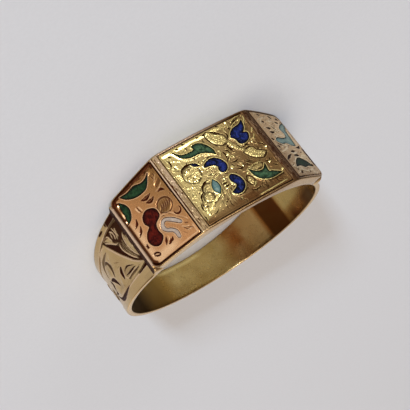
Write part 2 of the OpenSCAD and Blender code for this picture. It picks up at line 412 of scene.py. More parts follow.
def pocket(relief, here, side):
    """The seat for a plaque, sunk in a facet, and the thin lip that is rubbed over the plaque, with painted
    shade in the groove and along the lip.
    """
    u, s = relief["u"], relief["s"]
    out = -inside(side, u, s, 0)
    sunk = here & (out < 0)
    relief["h"] -= sunk * (POCKET_T + dome(u, facet_length(side)))
    # The pocket floor is darkened: painted shade in the gap round the plaque.
    darken(relief, sunk)
    to_fold = facet_length(side) / 2 - (np.abs(u) if side == CENTRE else -side * u)
    lip = here & (out >= 0) & (to_fold > WEB_W + 0.02)
    at_end = side * u > SIDE_L / 2 - LIP_W
    if side == CENTRE:
        # Along the middle facet's far lip: a painted highlight towards the left, painted shade towards the
        # right.
        grime = np.where(s > 0, np.interp(u, [-1, 3], [0.15, 0.8]), 0.5)
        brighten(relief, lip * (s > 0) * np.interp(u, [-1, 3], [0.8, 0]))
    elif side == LEFT:
        grime = 0.95
        out = out - 0.07 * (lip & at_end)
    else:
        grime = np.where(s < 0, np.interp(u, [-1.8, -0.8], [0.6, 0.05]), 0.5)
        darken(relief, (here & at_end) * (4 * (1 - np.abs(s + 1.3) / 1.1)).clip(0, 1))
    # A dark line along the lip's inner edge is painted shade in the groove round the plaque; the pale band
    # beside it is the rubbed lip.
    darken(relief, grime * lip * ramp(out, 0.152, 0.072))
    brighten(relief, 0.55 * lip * ramp(out, 0.11, 0.15))


# Where each scraped line of a fold runs, how wide it is, and its grime, or its shine if below 0.
LEFT_FOLD_LINES = [(-0.34, 0.08, 1), (-0.26, 0.1, -0.9), (-0.14, 0.09, 1), (0.03, 0.05, 0.5),
                   (0.1, 0.07, -0.35), (0.22, 0.06, 0.5), (0.35, 0.06, 0.5)]
RIGHT_FOLD_LINES = [(-0.34, 0.07, 0.7), (-0.15, 0.12, 0.8), (-0.02, 0.1, 0.9), (0.12, 0.12, 0.8),
                    (0.34, 0.08, 0.9)]


def scrape_fold(relief, part, edge, side, lines, rng):
    """The web between two pockets, scraped lengthwise over the fold, with u at 0 on the fold."""
    s = relief["s"]
    from_fold = side * (side * relief["u"] + np.where(part == CENTRE, -FOLD_X, SIDE_L / 2))
    on_web = ((part == CENTRE) | (part == side)) & (np.abs(from_fold) < WEB_W + 0.02) & (edge > 0.06)
    web = {**relief, "u": np.where(on_web, from_fold, ELSEWHERE)}
    # The webs are darkened: the right one as painted shade, since that fold lies in shade; the left one more
    # towards the near side.
    darken(web, on_web * (0.72 if side == RIGHT else np.interp(s, [-1, 1], [0.48, 0.32])))
    for _ in range(150):
        at = np.array([rng.uniform(-0.12, 0.3) * -side, rng.uniform(-3.4, 3.4)])
        way = rng.uniform(0.08, 0.3) * np.array([rng.uniform(-0.5, 0.5), 1])
        if rng.uniform() < 0.5:
            cut(web, [at - way, at + way], rng.uniform(0.06, 0.12), 0.015, grime=rng.uniform(0.3, 1))
        else:
            bead(web, [at - way, at + way], 0.07, 0.01,
                 shine=rng.uniform(0.1, 0.45 if side == LEFT else 0.2))
    for at, width, tone in lines:
        line = [(at, -6), (at + 0.01, 0), (at - 0.01, 6)]
        if tone > 0:
            cut(web, line, width, 0.03 if side == LEFT else 0.01, grime=tone)
        else:
            bead(web, line, width, 0.015, shine=-tone)
    if side == LEFT:
        cream = (1 - ((web["u"] - 0.19) / 0.13) ** 2).clip(0, 1) * ramp(s, 0.1, 0.7)
        web["dirt_and_shade"] *= 1 - 0.9 * cream
        brighten(web, 0.55 * cream)
        web["rubbed_and_highlight"] = np.where(on_web, web["rubbed_and_highlight"] * np.interp(s, [-2.5, 0.5], [0.35, 1]), web["rubbed_and_highlight"])
    relief["dirt_and_shade"], relief["rubbed_and_highlight"] = web["dirt_and_shade"], web["rubbed_and_highlight"]


def shoulder_borders(relief, edge):
    """The field sunk between the borders, with a dark line along each and a rubbed edge beside it."""
    u, s = relief["u"], relief["s"]
    front = (u > -CARVED_END) & (u < 0)
    far_w = np.interp(-u, [9.4, 12, 15, 18, 22.9], [0.62, 0.68, 0.86, 0.8, 0.8])
    near_w = np.interp(-u, [9.4, 12, 15, 18, 22.9], [1.1, 0.95, 0.75, 0.7, 0.8])
    border = edge - np.where(s > 0, far_w, near_w)
    line = ridge(border, 0.03, 0.08) * front
    relief["h"] -= 0.05 * ramp(border, 0, 0.08) * front + 0.06 * line
    darken(relief, line * np.where(s > 0, np.interp(-u, [12, 13, 16], [1.0, 0.75, 0.7]), 0.6))
    brighten(relief, np.interp(u, [-13, -11.5], [0.6, 1.0]) * ridge(border, -0.09, 0.06) * front)


def corner_leaves(relief):
    """The dark corner by the head, with small pale leaves that curl out of it."""
    hollow(relief, [(-12.45, 2.05, 1), (-11.95, 1.25), (-11.5, 0.5), (-11.1, -0.1), (-10.6, -0.8),
                    (-10.0, -1.35), (-9.3, -1.85), (-9.2, -1.2), (-9.2, 2.45, 1), (-10.6, 2.35),
                    (-11.9, 2.2)], 0.1, 0.1, 0.88, spread=2.5)
    for k in range(7):
        start, end = -12.1 + 0.16 * k, -10.1 + 0.07 * k
        bead(relief, [(start, 1.65 - 0.04 * k), ((start + end) / 2 - 0.05, 0.3 + 0.06 * k),
                      (end, -1.15 + 0.05 * k)], 0.045, 0.01, shine=0.03)
    shade_in(relief, [(-12.35, 1.95, 1), (-11.6, 1.5), (-11.0, 1.0), (-10.8, 0.4), (-10.5, -0.35),
                      (-9.7, -1.5, 1), (-10.5, -0.85), (-11.1, -0.05), (-11.8, 1.05)], 0.06, 0.9)
    bead(relief, [(-12.35, 1.85), (-11.9, 1.15), (-11.45, 0.42), (-11.02, -0.2), (-10.5, -0.9),
                  (-9.95, -1.42), (-9.5, -1.72)], 0.13, 0.05, shine=0.6)
    bead(relief, [(-12.5, 1.8), (-13.0, 1.93), (-14.0, 1.74), (-14.8, 1.3)], 0.16, 0.03, shine=0.35)
    for clean in ([(-12.15, 2.1, 1), (-11.7, 2.12), (-11.35, 1.95), (-11.28, 1.6), (-11.05, 1.2, 1),
                   (-11.45, 1.45), (-11.8, 1.8)],
                  [(-9.8, 1.2), (-9.72, 0.3), (-9.62, -1.15, 1), (-9.9, -0.5), (-10.08, 0.2), (-10.0, 0.8)]):
        relief["dirt_and_shade"] *= 1 - 0.8 * plateau(relief, clean, 0.06, 0.1)
    for stroke, wide, shine in (
            ([(-12.2, 2.05), (-11.75, 2.2), (-11.4, 2.05), (-11.28, 1.7), (-11.3, 1.42)], 0.12, 0.5),
            ([(-12.2, 2.02), (-11.8, 1.72), (-11.35, 1.35), (-11.0, 1.05), (-10.75, 1.02)], 0.12, 0.5),
            ([(-10.95, 2.2), (-10.72, 2.05), (-10.66, 1.7), (-10.78, 1.35)], 0.13, 0.5),
            ([(-11.0, 1.6), (-10.95, 1.9), (-10.85, 2.1)], 0.1, 0.4),
            ([(-10.5, 2.3), (-10.42, 1.9), (-10.45, 1.5), (-10.6, 1.2)], 0.12, 0.35),
            ([(-10.2, 2.1), (-10.3, 1.7), (-10.35, 1.3)], 0.12, 0.3),
            ([(-10.7, 0.95), (-10.83, 0.5), (-10.7, 0.05), (-10.35, -0.6), (-9.9, -1.2)], 0.12, 0.5),
            ([(-9.75, 1.35), (-10.02, 0.9), (-10.1, 0.3), (-9.98, -0.4), (-9.62, -1.15)], 0.12, 0.5),
            ([(-9.66, 1.0), (-9.75, 0.3), (-9.7, -0.3)], 0.08, 0.3),
            ([(-10.35, 0.9), (-10.45, 0.3), (-10.25, -0.4), (-9.85, -1.05)], 0.07, 0.12),
            ([(-10.25, 1.0), (-10.3, 0.4), (-10.1, -0.4)], 0.07, 0.12),
            ([(-10.6, 0.6), (-10.6, 0.1), (-10.3, -0.5)], 0.06, 0.12)):
        bead(relief, stroke, wide, 0.045, shine=shine)


def big_leaf(relief):
    """The broad leaf behind the corner, modelled with long swelling cuts, low lobes and painted shade."""
    plateau(relief, [(-15.3, 0.3), (-14.9, 1.25), (-14.0, 1.72), (-13.0, 1.92), (-12.4, 1.8, 1),
                     (-11.9, 1.15), (-11.45, 0.45), (-11.05, -0.15), (-10.55, -0.85), (-10.0, -1.38),
                     (-9.6, -1.7, 1), (-10.6, -1.72), (-12.3, -1.8), (-13.8, -1.75), (-15.0, -1.4),
                     (-15.5, -0.6)], 0.05, 0.3)
    for stroke, wide, grime in (
            ([(-14.9, 0.1), (-14.75, 0.75), (-14.3, 1.15), (-13.5, 1.33), (-12.5, 1.45)], 0.42, 0.62),
            ([(-13.95, 0.95), (-13.5, 0.98), (-13.32, 0.55), (-13.42, 0.1), (-13.7, -0.4)], 0.4, 0.8),
            ([(-14.8, -0.05), (-14.25, -0.28), (-13.95, -0.6), (-13.7, -1.15)], 0.42, 1.0),
            ([(-15.15, 0.15), (-14.95, -0.3), (-15.05, -0.7), (-15.35, -0.95), (-15.95, -0.92)], 0.45, 0.9),
            ([(-16.0, -0.95), (-15.5, -1.5), (-14.9, -1.82), (-14.0, -1.92), (-12.5, -1.9)], 0.42, 0.95),
            ([(-12.0, -0.33), (-12.36, -0.7), (-12.55, -1.3)], 0.44, 1.0),
            ([(-12.1, -1.05), (-11.85, -0.88), (-11.3, -0.85), (-10.6, -1.25)], 0.13, 0.9),
            ([(-12.1, -1.22), (-11.5, -1.33), (-10.5, -1.38)], 0.18, 0.95),
            ([(-12.2, -1.72), (-11.3, -1.68), (-10.2, -1.78)], 0.1, 0.4),
            ([(-13.3, -0.4), (-13.1, 0.3), (-12.9, 1.0)], 0.1, 0.25),
            ([(-12.6, 0.5), (-12.2, 0.1), (-11.6, -0.2)], 0.1, 0.25),
            ([(-12.8, -0.1), (-12.3, -0.25), (-11.7, -0.45)], 0.08, 0.25)):
        cut(relief, stroke, wide, 0.08, grime=grime)
    for lobe in ([(-14.5, 0.0), (-14.4, 0.6), (-14.0, 0.8), (-13.6, 0.4), (-13.8, -0.1)],
                 [(-13.2, -0.2), (-13.0, 0.9), (-12.3, 1.3), (-11.7, 0.4), (-11.3, -0.3), (-12.0, 0.0)],
                 [(-14.9, -0.5), (-14.3, -0.7), (-13.9, -1.3), (-14.6, -1.6), (-15.2, -1.2)],
                 [(-13.4, -1.2), (-12.8, -0.6), (-12.7, -1.4), (-13.3, -1.65)]):
        plateau(relief, lobe, 0.05, 0.3)
    # Painted shade in soft patches over the leaf's relief.
    for shadow, edge, strength in (
            ([(-14.9, 0.2), (-14.4, 1.1), (-13.6, 1.2), (-13.3, 0.4), (-13.9, -0.2)], 0.4, 0.34),
            ([(-13.6, -0.5), (-13.2, -0.9), (-12.6, -1.75), (-14.4, -1.7), (-14.3, -1.2)], 0.4, 0.36),
            ([(-12.2, -0.5), (-11.2, -0.6), (-10.2, -1.4), (-11.2, -1.75), (-12.5, -1.7)], 0.4, 0.34),
            ([(-12.7, 0.9), (-12.2, 1.2), (-11.4, 0.1), (-11.3, -0.4), (-12.0, -0.1)], 0.4, 0.28),
            ([(-15.6, 0.6), (-15.0, 1.3), (-14.6, 1.1), (-15.2, 0.2)], 0.4, 0.4),
            ([(-12.0, -1.2, 1), (-11.7, -0.95), (-11.2, -0.92), (-10.6, -1.3, 1)], 0.08, 0.35),
            ([(-12.2, -0.5, 1), (-12.0, -0.42), (-12.35, -1.1), (-12.55, -1.15, 1)], 0.04, 1.0)):
        shade_in(relief, shadow, edge, strength)
    bead(relief, [(-11.95, -0.6), (-12.2, -0.95), (-12.2, -1.35), (-11.9, -1.52), (-11.0, -1.52),
                  (-10.2, -1.62)], 0.12, 0.03, shine=0.4)


def running_scroll(relief):
    """The wavy stem that carries the carving back to its end, with a curled leaf in each bend."""
    high = np.interp(np.arange(24), [0, 23], [1.35, 0.75])
    stem = [(-16.1 - 0.28 * j, 0.5 * high[j] * math.sin(math.pi * 0.28 * j / 1.26)) for j in range(24)]
    cut(relief, stem, 0.46, 0.06, grime=0.5)
    for k in range(5):
        at = -16.75 - 1.26 * k
        tip = high[4 * k + 2] * (-1 if k % 2 == 0 else 1)
        plateau(relief, [(at + 0.62, -tip * 0.1, 1), (at + 0.5, tip * 0.5), (at + 0.1, tip * 0.92),
                         (at - 0.35, tip * 0.8), (at - 0.45, tip * 0.3), (at - 0.1, tip * 0.1),
                         (at + 0.15, tip * 0.35)], 0.07, 0.15)
        cut(relief, [(at + 0.55, tip * 0.05), (at + 0.4, tip * 0.6), (at, tip * 0.88),
                     (at - 0.4, tip * 0.55), (at - 0.25, tip * 0.15), (at + 0.08, tip * 0.35)],
            0.2, 0.06, grime=0.75)
        for lean in (0.12, 0.34):
            cut(relief, [(at + 0.75 - lean, tip * 0.7), (at + 0.6 - lean, tip)], 0.12, 0.05, grime=0.7)
        cut(relief, [(at - 0.45, tip), (at - 0.62, tip * 0.7), (at - 0.66, tip * 0.35)], 0.16, 0.05,
            grime=0.7)
    bead(relief, stem, 0.17, 0.05, shine=0.4)
    bead(relief, [(-22.62, 1.02), (-22.95, 0.5), (-23.05, 0), (-22.95, -0.5), (-22.62, -1.02)], 0.16, 0.03,
         shine=0.4)
    cut(relief, [(-22.5, 1.0), (-22.78, 0.5), (-22.86, 0), (-22.78, -0.5), (-22.5, -1.0)], 0.16, 0.05,
        grime=0.6)


def hoop_relief(part, u, s, edge):
    """The hoop's outside: its height above the plain outline, how worn or dirty it is, and its painted shade
    and highlights.
    """
    relief = bare(u, s)
    for side in (LEFT, CENTRE, RIGHT):
        pocket(relief, part == side, side)
    rng = np.random.default_rng(21)
    scrape_fold(relief, part, edge, LEFT, LEFT_FOLD_LINES, rng)
    scrape_fold(relief, part, edge, RIGHT, RIGHT_FOLD_LINES, rng)
    back = u * CARVED_R / BAND_R
    shoulder = {**relief, "u": np.where(np.abs(part) == BAND, back, ELSEWHERE)}
    shoulder_borders(shoulder, edge)
    corner_leaves(shoulder)
    big_leaf(shoulder)
    hollow(shoulder, [(-10.8, -1.93, 1), (-10.3, -1.9), (-9.3, -1.72, 1), (-9.3, -2.12, 1), (-10.3, -2.14),
                      (-10.75, -2.1, 1)], 0.08, 0.08, 0.95)
    hollow(shoulder, [(-12.1, 2.62), (-11.7, 2.55), (-11.35, 2.62), (-11.4, 2.8), (-11.8, 2.84),
                      (-12.1, 2.76)], 0.05, 0.08, 0.9)
    cut(shoulder, [(-10.75, 2.6), (-10.72, 2.98)], 0.2, 0.04)
    by_head = ramp(shoulder["u"], -10.75, -10.55) * (shoulder["u"] < 0) * (edge > 0.1) * (edge < 0.55)
    darken(shoulder, by_head * np.where(s > 0, 0.92, 0.25))
    running_scroll(shoulder)
    shoulder["dirt_and_shade"] *= ramp(edge, 0, 0.06)
    return shoulder


def profile():
    """The hoop's outside seen along the hole: points in mm, each one's part and place along it."""
    wall = np.array([-math.sin(END_LEAN), -math.cos(END_LEAN)])
    top = np.array([END_X, END_Y])
    dot = top @ wall
    wall_l = -dot - math.sqrt(dot * dot - (top @ top - BAND_R ** 2))
    foot = top + wall_l * wall
    foot_angle = math.atan2(foot[0], foot[1])
    band = [(BAND_R * math.sin(angle), BAND_R * math.cos(angle), BAND, -angle * BAND_R)
            for angle in np.arange(foot_angle, math.pi, OUTLINE_STEP / BAND_R)]
    end_wall = [(*(foot - t * wall), END_WALL, t)
                for t in np.arange(OUTLINE_STEP / 2, wall_l, OUTLINE_STEP)]
    middle = np.array([(FOLD_X + END_X) / 2, (FOLD_Y + END_Y) / 2])
    c, s = math.cos(SLOPE), math.sin(SLOPE)
    facet = []
    for u in np.arange(SIDE_L / 2 - OUTLINE_STEP / 2, -SIDE_L / 2, -OUTLINE_STEP):
        z = dome(u, SIDE_L)
        facet.append((middle[0] + u * c + z * s, middle[1] - u * s + z * c, RIGHT, u))
    crown = [(u, FOLD_Y + dome(u, 2 * FOLD_X), CENTRE, u)
             for u in np.arange(FOLD_X - OUTLINE_STEP / 2, 0, -OUTLINE_STEP)]
    right = np.array([*band[::-1], *end_wall, *facet, *crown])
    left = right[::-1] * [-1, 1, 1, 1]
    left[:, 2] *= -1
    left[:, 3] *= np.where(np.abs(left[:, 2]) < END_WALL, -1, 1)
    return np.concatenate([right, left])


def softened(line, spread):
    """A closed outline with its corners rounded by a bell of this spread, in steps."""
    bell = np.exp(-0.5 * (np.arange(-90, 91) / spread) ** 2)
    bell /= bell.sum()
    wrapped = np.concatenate([line[-90:], line, line[:90]])
    return np.stack([np.convolve(wrapped[:, k], bell, "valid") for k in (0, 1)], 1)


# The outline is thinned to rows that lie close together only where there is carving or a bend.
# Each row's place is px, py, its way out of the metal nx, ny, and its way from the hole's middle
# rx, ry.
outline = profile()
to_fold = np.hypot(np.abs(outline[:, 0]) - FOLD_X, outline[:, 1] - FOLD_Y)
near_fold = ramp(to_fold, 2.2, 1.2)[:, None]
soft = (1 - near_fold) * softened(outline[:, :2], 16) + near_fold * softened(outline[:, :2], 32)
tangent = np.roll(soft, -1, 0) - np.roll(soft, 1, 0)
outward = np.stack([-tangent[:, 1], tangent[:, 0]], 1) / np.linalg.norm(tangent, axis=1)[:, None]
outward *= np.sign((outward * soft).sum(1))[:, None]
part = np.round(outline[:, 2]).astype(int)
from_corner = np.where(np.abs(part) == RIGHT, SIDE_L / 2, FOLD_X) - np.abs(outline[:, 3])
on_band = np.interp(-outline[:, 3] * CARVED_R / BAND_R, [16, 16.5, 22.8, 23.2], [0.05, 0.075, 0.09, 0.4])
on_facet = np.where(from_corner < 0.5, 0.035, 0.2)
spacing = np.where(np.abs(part) == END_WALL, 0.06, np.where(np.abs(part) == BAND, on_band, on_facet))
walk = np.cumsum(OUTLINE_STEP / spacing)
pick = np.searchsorted(walk, np.arange(0, int(walk[-1])) + 0.5)
part, along = part[pick], outline[pick, 3]
px, py = soft[pick].T[:, :, None]
nx, ny = outward[pick].T[:, :, None]

# The corners at the head's right end are worn rounder than those at its left end.
CORNER_R = 0.6
WORN_CORNER_R = 0.85
wall_l = outline[np.abs(outline[:, 2]) == END_WALL, 3].max()
on_wall = np.abs(part) == END_WALL
to_end = np.where(on_wall, wall_l - along, ELSEWHERE)
to_end = np.where(np.abs(part) == RIGHT, SIDE_L / 2 - part * along, to_end)
corner_r = np.where(part > 0, WORN_CORNER_R, CORNER_R)
short = (corner_r - to_end).clip(0, corner_r - 0.02)
trim = (corner_r - np.sqrt(corner_r ** 2 - short ** 2))[:, None]

# Across the hoop the points lie at these steps in from each edge, and evenly in the middle.
EDGE_STEPS = [0.1, 0.14, 0.165, 0.18, 0.24, 0.33, 0.42, 0.52, 0.6, 0.65, 0.69, 0.73, 0.79]
MIDDLE_COUNT = 84
wide = half_w(py) - trim
middle = np.linspace(-1, 1, MIDDLE_COUNT + 2)[None, 1:-1] * (wide - EDGE_STEPS[-1])
steps = np.array(EDGE_STEPS)[None]
s = np.concatenate([-(wide - steps), middle, (wide - steps)[:, ::-1]], 1)
across_face = np.zeros(s.shape, int)
face = hoop_relief(part[:, None] + across_face, along[:, None] + 0 * s, s, wide - np.abs(s))
angle = np.arctan2(px, py)
rx, ry = np.sin(angle), np.cos(angle)


def side_z(y, sign):
    """Where a filed side lies along the hole: the near side at sign -1, the resting one at 1."""
    return -sign * half_w(y)


def outer_fillet(sign, turn):
    """The rounded edge between the outside and a side face, through these angles."""
    x = px - nx * OUTER_EDGE_R * (1 - np.cos(turn))
    y = py - ny * OUTER_EDGE_R * (1 - np.cos(turn))
    return np.stack([x, y, side_z(y, sign) + sign * (OUTER_EDGE_R * (1 - np.sin(turn)) + trim)], -1)


def inner_fillet(sign, turn):
    """The rounded edge between the hole and a side face, through these angles."""
    r = BORE_R + INNER_EDGE_R * (1 - np.cos(turn))
    x, y = r * rx, r * ry
    return np.stack([x, y, side_z(y, sign) + sign * INNER_EDGE_R * (1 - np.sin(turn))], -1)


def side_face(sign, share):
    """The flat side, at these shares of the way from the outside to the hole."""
    x = (1 - share) * (px - nx * OUTER_EDGE_R) + share * (BORE_R + INNER_EDGE_R) * rx
    y = (1 - share) * (py - ny * OUTER_EDGE_R) + share * (BORE_R + INNER_EDGE_R) * ry
    return np.stack([x, y, side_z(y, sign) + sign * trim * (1 - share) ** 2], -1)


# The hole's rows of points, the angles of a rounded edge's points, and the shares of a side's.
BORE_ROWS = 13
TURNS = np.radians([22, 45, 68])[None]
SHARES = np.array([0, 0.33, 0.67, 1.0])[None]
outer = np.stack([px + nx * face["h"], py + ny * face["h"], -s], -1)
across = np.linspace(1, -1, BORE_ROWS)[None] * (half_w(BORE_R * ry) - INNER_EDGE_R)
bore = np.stack([BORE_R * rx + 0 * across, BORE_R * ry + 0 * across, -across], -1)

# Wear of the head: the facets and sides have browned, the left fold less; the ends of the folds are
# darkened, the end walls carry painted shade, and the sharp outer corners are rubbed bright.
on_head = np.abs(part)[:, None] < END_WALL
browned = np.interp(px, [-6, -3, 2, 5], [0, 0.35, 0.8, 0.4]) * on_head
at_fold = 0.7 * np.exp(-((np.abs(px) - FOLD_X) / 0.22) ** 2) * on_head
near_edge_dirt_and_shade = np.concatenate([0 * px, 0 * px, 0.4 * face["dirt_and_shade"][:, :1] * on_head], 1)
bright_corner = (1.4 - to_end / 0.14).clip(0, 1)[:, None]
face["patina"] = np.where(np.abs(px + FOLD_X) < 0.5, 0.5, 0.8 * on_head) + 0 * s
face["dirt_and_shade"][:, :4] = np.maximum(face["dirt_and_shade"][:, :4], at_fold)
# Painted shade on the steep end walls.
darken(face, 0.9 * ramp(to_end, 0.17, 0.22)[:, None] * on_wall[:, None])
brighten(face, bright_corner)
face["dirt_and_shade"] *= 1 - bright_corner

# Painted reflections in the hole, as rows of an angle and a strength. The angle goes round it in degrees
# from the head's middle towards its right end: copper brown and dark patches painted beyond the head stand
# for dark reflections, and a pale stretch opposite to it for a bright one. Random spots make its own tone
# mottled.
COPPER_REFLECTION = [(80, 0.0), (88, 0.5), (106, 0.6), (113, 0.55), (114.5, 1), (127, 1), (128.5, 0.75),
          (143, 0.8), (146, 0.95), (152, 0.7), (160, 0.05), (250, 0)]
DARK_REFLECTION = [(60, 0.2), (80, 0.15), (92, 0.2), (104, 0.28), (113, 0.28), (114.5, 0.62), (127, 0.66),
         (128.5, 0.12), (143, 0.1), (146, 0.28), (153, 0.12), (180, 0.0), (194, 0.06), (204, 0.44),
         (212, 0.46), (224, 0.82), (250, 0.75), (300, 0.3)]
BRIGHT_REFLECTION = [(70, 0.25), (88, 0.2), (104, 0.05), (113, 0), (128.5, 0), (131, 0.3), (141, 0.2),
          (146, 0), (156, 0.2), (170, 0.4), (190, 0.38), (200, 0), (212, 0.04), (224, 0)]
turned = np.degrees(angle) % 360
hole_wear_and_reflections = {key: np.interp(turned, *np.transpose(steps)) + 0 * across
        for key, steps in (("patina", COPPER_REFLECTION), ("dirt_and_shade", DARK_REFLECTION), ("rubbed_and_highlight", BRIGHT_REFLECTION))}
# Beyond the head, from 80 to 114 degrees, the wall is painted paler away from the near side and darker along
# it: painted reflections too.
clean = ramp(across, -1.2, -0.8) * np.interp(turned, [80, 86, 111, 114], [0, 1, 1, 0])
hole_wear_and_reflections["dirt_and_shade"] *= 1 - clean
hole_wear_and_reflections["patina"] *= 1 - 0.8 * clean
brighten(hole_wear_and_reflections, 0.35 * clean)
near_side = ramp(across, -1.2, -1.6) * np.interp(turned, [76, 82, 108, 113], [0, 1, 1, 0])
hole_wear_and_reflections["patina"] = np.maximum(hole_wear_and_reflections["patina"], near_side)
darken(hole_wear_and_reflections, 0.62 * near_side)
hole_wear_and_reflections["dirt_and_shade"] *= 1 - np.exp(-((turned - 100) / 5) ** 2 - ((across + 1.75) / 0.5) ** 2)
rng = np.random.default_rng(8)
for _ in range(160):
    at, high = rng.uniform(22, 36), rng.uniform(-2.2, 2.2)
    size, gain = rng.uniform(0.2, 0.5), rng.uniform(-0.14, 0.14)
    spot = np.exp(-((np.radians(turned) * BORE_R - at) ** 2 + (across - high) ** 2) / size ** 2)
    hole_wear_and_reflections["rubbed_and_highlight"] = (hole_wear_and_reflections["rubbed_and_highlight"] + gain * spot).clip(0, 1)
# A painted highlight: a pale streak just in from the resting rim, opposite the head.
from_far = half_w(BORE_R * ry) - across
brighten(hole_wear_and_reflections, ridge(from_far, 0.3, 0.3) * np.interp(turned, [166, 172, 194, 202], [0, 1, 1, 0]))

# The surfaces in order round the section, from the outside by the far side to the hole and back
# by the near side, each with its wear.
surfaces = [(outer, face), (outer_fillet(1, TURNS), {"patina": browned}), (side_face(1, SHARES), {}),
            (inner_fillet(1, TURNS[:, ::-1]), {}), (bore, hole_wear_and_reflections), (inner_fillet(-1, TURNS), {"dirt_and_shade": 0.35}),
            (side_face(-1, SHARES[:, ::-1]), {"patina": browned}),
            (outer_fillet(-1, TURNS[:, ::-1]),
             {"patina": browned, "dirt_and_shade": np.maximum(near_edge_dirt_and_shade, at_fold)})]
body = np.concatenate([surface for surface, _ in surfaces], 1)
rows, columns = body.shape[:2]
wear = {key: np.concatenate([np.broadcast_to(worn.get(key, 0.0), surface.shape[:2])
                             for surface, worn in surfaces], 1).ravel()
        for key in ("dirt_and_shade", "patina", "rubbed_and_highlight")}
number = np.arange(rows * columns).reshape(rows, columns)
next_row = np.roll(number, -1, 0)
quads = np.stack([number, next_row, np.roll(next_row, -1, 1), np.roll(number, -1, 1)], -1)


DRIFT_MM = 2.5
SWELL_MM = 3


def gold(name, worn, pale, patina_colour, dirt_and_shade_colour, rubbed_and_highlight_colour, roughness, grain_mm):
    """Gold alloy: two tones that drift over it; brown patina and grime in cuts, which also carry painted
    shade; rubbed bright tops, which also carry painted highlights.
    """
    made, tree = material(name)
    place = node(tree, "TexCoord").outputs["Object"]
    drift = node(tree, "TexNoise", {"Vector": place, "Scale": 1 / (DRIFT_MM * MM), "Detail": 4})
    tone = node(tree, "Mix", {"Factor": drift.outputs["Fac"], "A": linear(worn),
                              "B": linear(pale)}, data_type="RGBA")
    grain = node(tree, "TexNoise", {"Vector": place, "Scale": 1 / (grain_mm * MM), "Detail": 3})
    patina = node(tree, "Attribute", attribute_name="patina").outputs["Fac"]
    patchy = node(tree, "MapRange", {"Value": drift.outputs["Fac"], "From Min": 0.3,
                                     "From Max": 0.7, "To Min": 0.7, "To Max": 1.1})
    spread = node(tree, "Math", {0: patina, 1: patchy.outputs["Result"]}, operation="MULTIPLY",
                  use_clamp=True)
    browned = node(tree, "Mix", {"Factor": spread.outputs["Value"], "A": tone.outputs["Result"],
                                 "B": linear(patina_colour)}, data_type="RGBA")
    rubbed_and_highlight = node(tree, "Attribute", attribute_name="rubbed_and_highlight").outputs["Fac"]
    rubbed = node(tree, "Mix", {"Factor": rubbed_and_highlight, "A": browned.outputs["Result"],
                                "B": linear(rubbed_and_highlight_colour)}, data_type="RGBA")
    dirt_and_shade = node(tree, "Attribute", attribute_name="dirt_and_shade").outputs["Fac"]
    dirt_and_shade_share = node(tree, "MapRange", {"Value": dirt_and_shade, "From Min": 0.2, "From Max": 0.9})
    colour = node(tree, "Mix", {"Factor": dirt_and_shade_share.outputs["Result"], "A": rubbed.outputs["Result"],
                                "B": linear(dirt_and_shade_colour)}, data_type="RGBA")
    swell = node(tree, "TexNoise", {"Vector": place, "Scale": 1 / (SWELL_MM * MM), "Detail": 1})
    wave = node(tree, "Bump", {"Height": swell.outputs["Fac"], "Strength": 0.35,
                               "Distance": 0.08 * MM})
    fine = node(tree, "Bump", {"Height": grain.outputs["Fac"], "Strength": 0.15,
                               "Distance": 0.01 * MM, "Normal": wave.outputs["Normal"]})
    dull = node(tree, "MapRange", {"Value": grain.outputs["Fac"], "To Min": roughness * 0.7,
                                   "To Max": roughness * 1.4})
    rough = node(tree, "Mix", {"Factor": dirt_and_shade_share.outputs["Result"],
                               "A": dull.outputs["Result"], "B": 0.6})
    shader = node(tree, "BsdfPrincipled", {"Base Color": colour.outputs["Result"],
                                           "Metallic": 1.0, "Roughness": rough.outputs["Result"],
                                           "Normal": fine.outputs["Normal"]})
    node(tree, "OutputMaterial", {"Surface": shader.outputs["BSDF"]})
    return made


def solid(name, points, faces, paint, wear):
    """A closed piece that rides on the ring, with the wear of its surface kept on its points."""
    made = mesh_object(name, points, faces, paint)
    whole = bmesh.new()
    whole.from_mesh(made.data)
    bmesh.ops.recalc_face_normals(whole, faces=whole.faces)
    whole.to_mesh(made.data)
    whole.free()
    for key, values in wear.items():
        kept = made.data.attributes.new(key, "FLOAT", "POINT")
        kept.data.foreach_set("value", np.asarray(values, np.float32))
    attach(made, "root")
    return made


# Worn gold has a soft sheen, drifts between two warm tones, is pale and pinkish where it is rubbed and where
# highlights are painted, and keeps brown grime in its cuts; its brown and grime also paint shade. Inside the
# finger hole it is darker and greener, partly tarnish and partly painted shade. The grain of fine scratches
# is drawn coarser than a real one, here and on the plaques, to show.
yellow = gold("18 carat yellow gold, worn", "#B89562", "#DEC38F", "#80582A", "#3C1808", "#F4D2B2",
              0.2, 0.15)
skin = gold("18 carat yellow gold, tarnished inside the finger hole", "#8A7038", "#C8A458",
            "#9C5C2A", "#2A1808", "#FFEEA8", 0.24, 0.2)
hoop = solid("hoop_gold", lay(*body.reshape(-1, 3).T), quads.reshape(-1, 4).tolist(), yellow,
             wear)
hoop.data.materials.append(skin)
bore_start = sum(surface.shape[1] for surface, _ in surfaces[:4])
in_bore = np.isin(np.arange(columns), np.arange(bore_start, bore_start + BORE_ROWS - 1))
hoop.data.polygons.foreach_set("material_index", np.tile(in_bore, rows).astype(np.int32))
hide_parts("hoop")

# Plaques
# Three sheets of gold let into the head's pockets and held by its burnished lip. The middle one
# is yellow gold, chased and punched all over; the sloping two are rose gold, cut with a graver
# on a plain satin ground. Cells are sunk in them for the enamel.
PLAQUE_GAP = 0.05
SEAT_GAP = 0.02
CELL_T = 0.06
PLAQUE_EDGE_R = 0.05
# A sheet's points lie this far apart, and at these distances in from its long edges.
SHEET_STEP = 0.029
SHEET_RIM = [0, 0.006, 0.018, 0.035, 0.055]


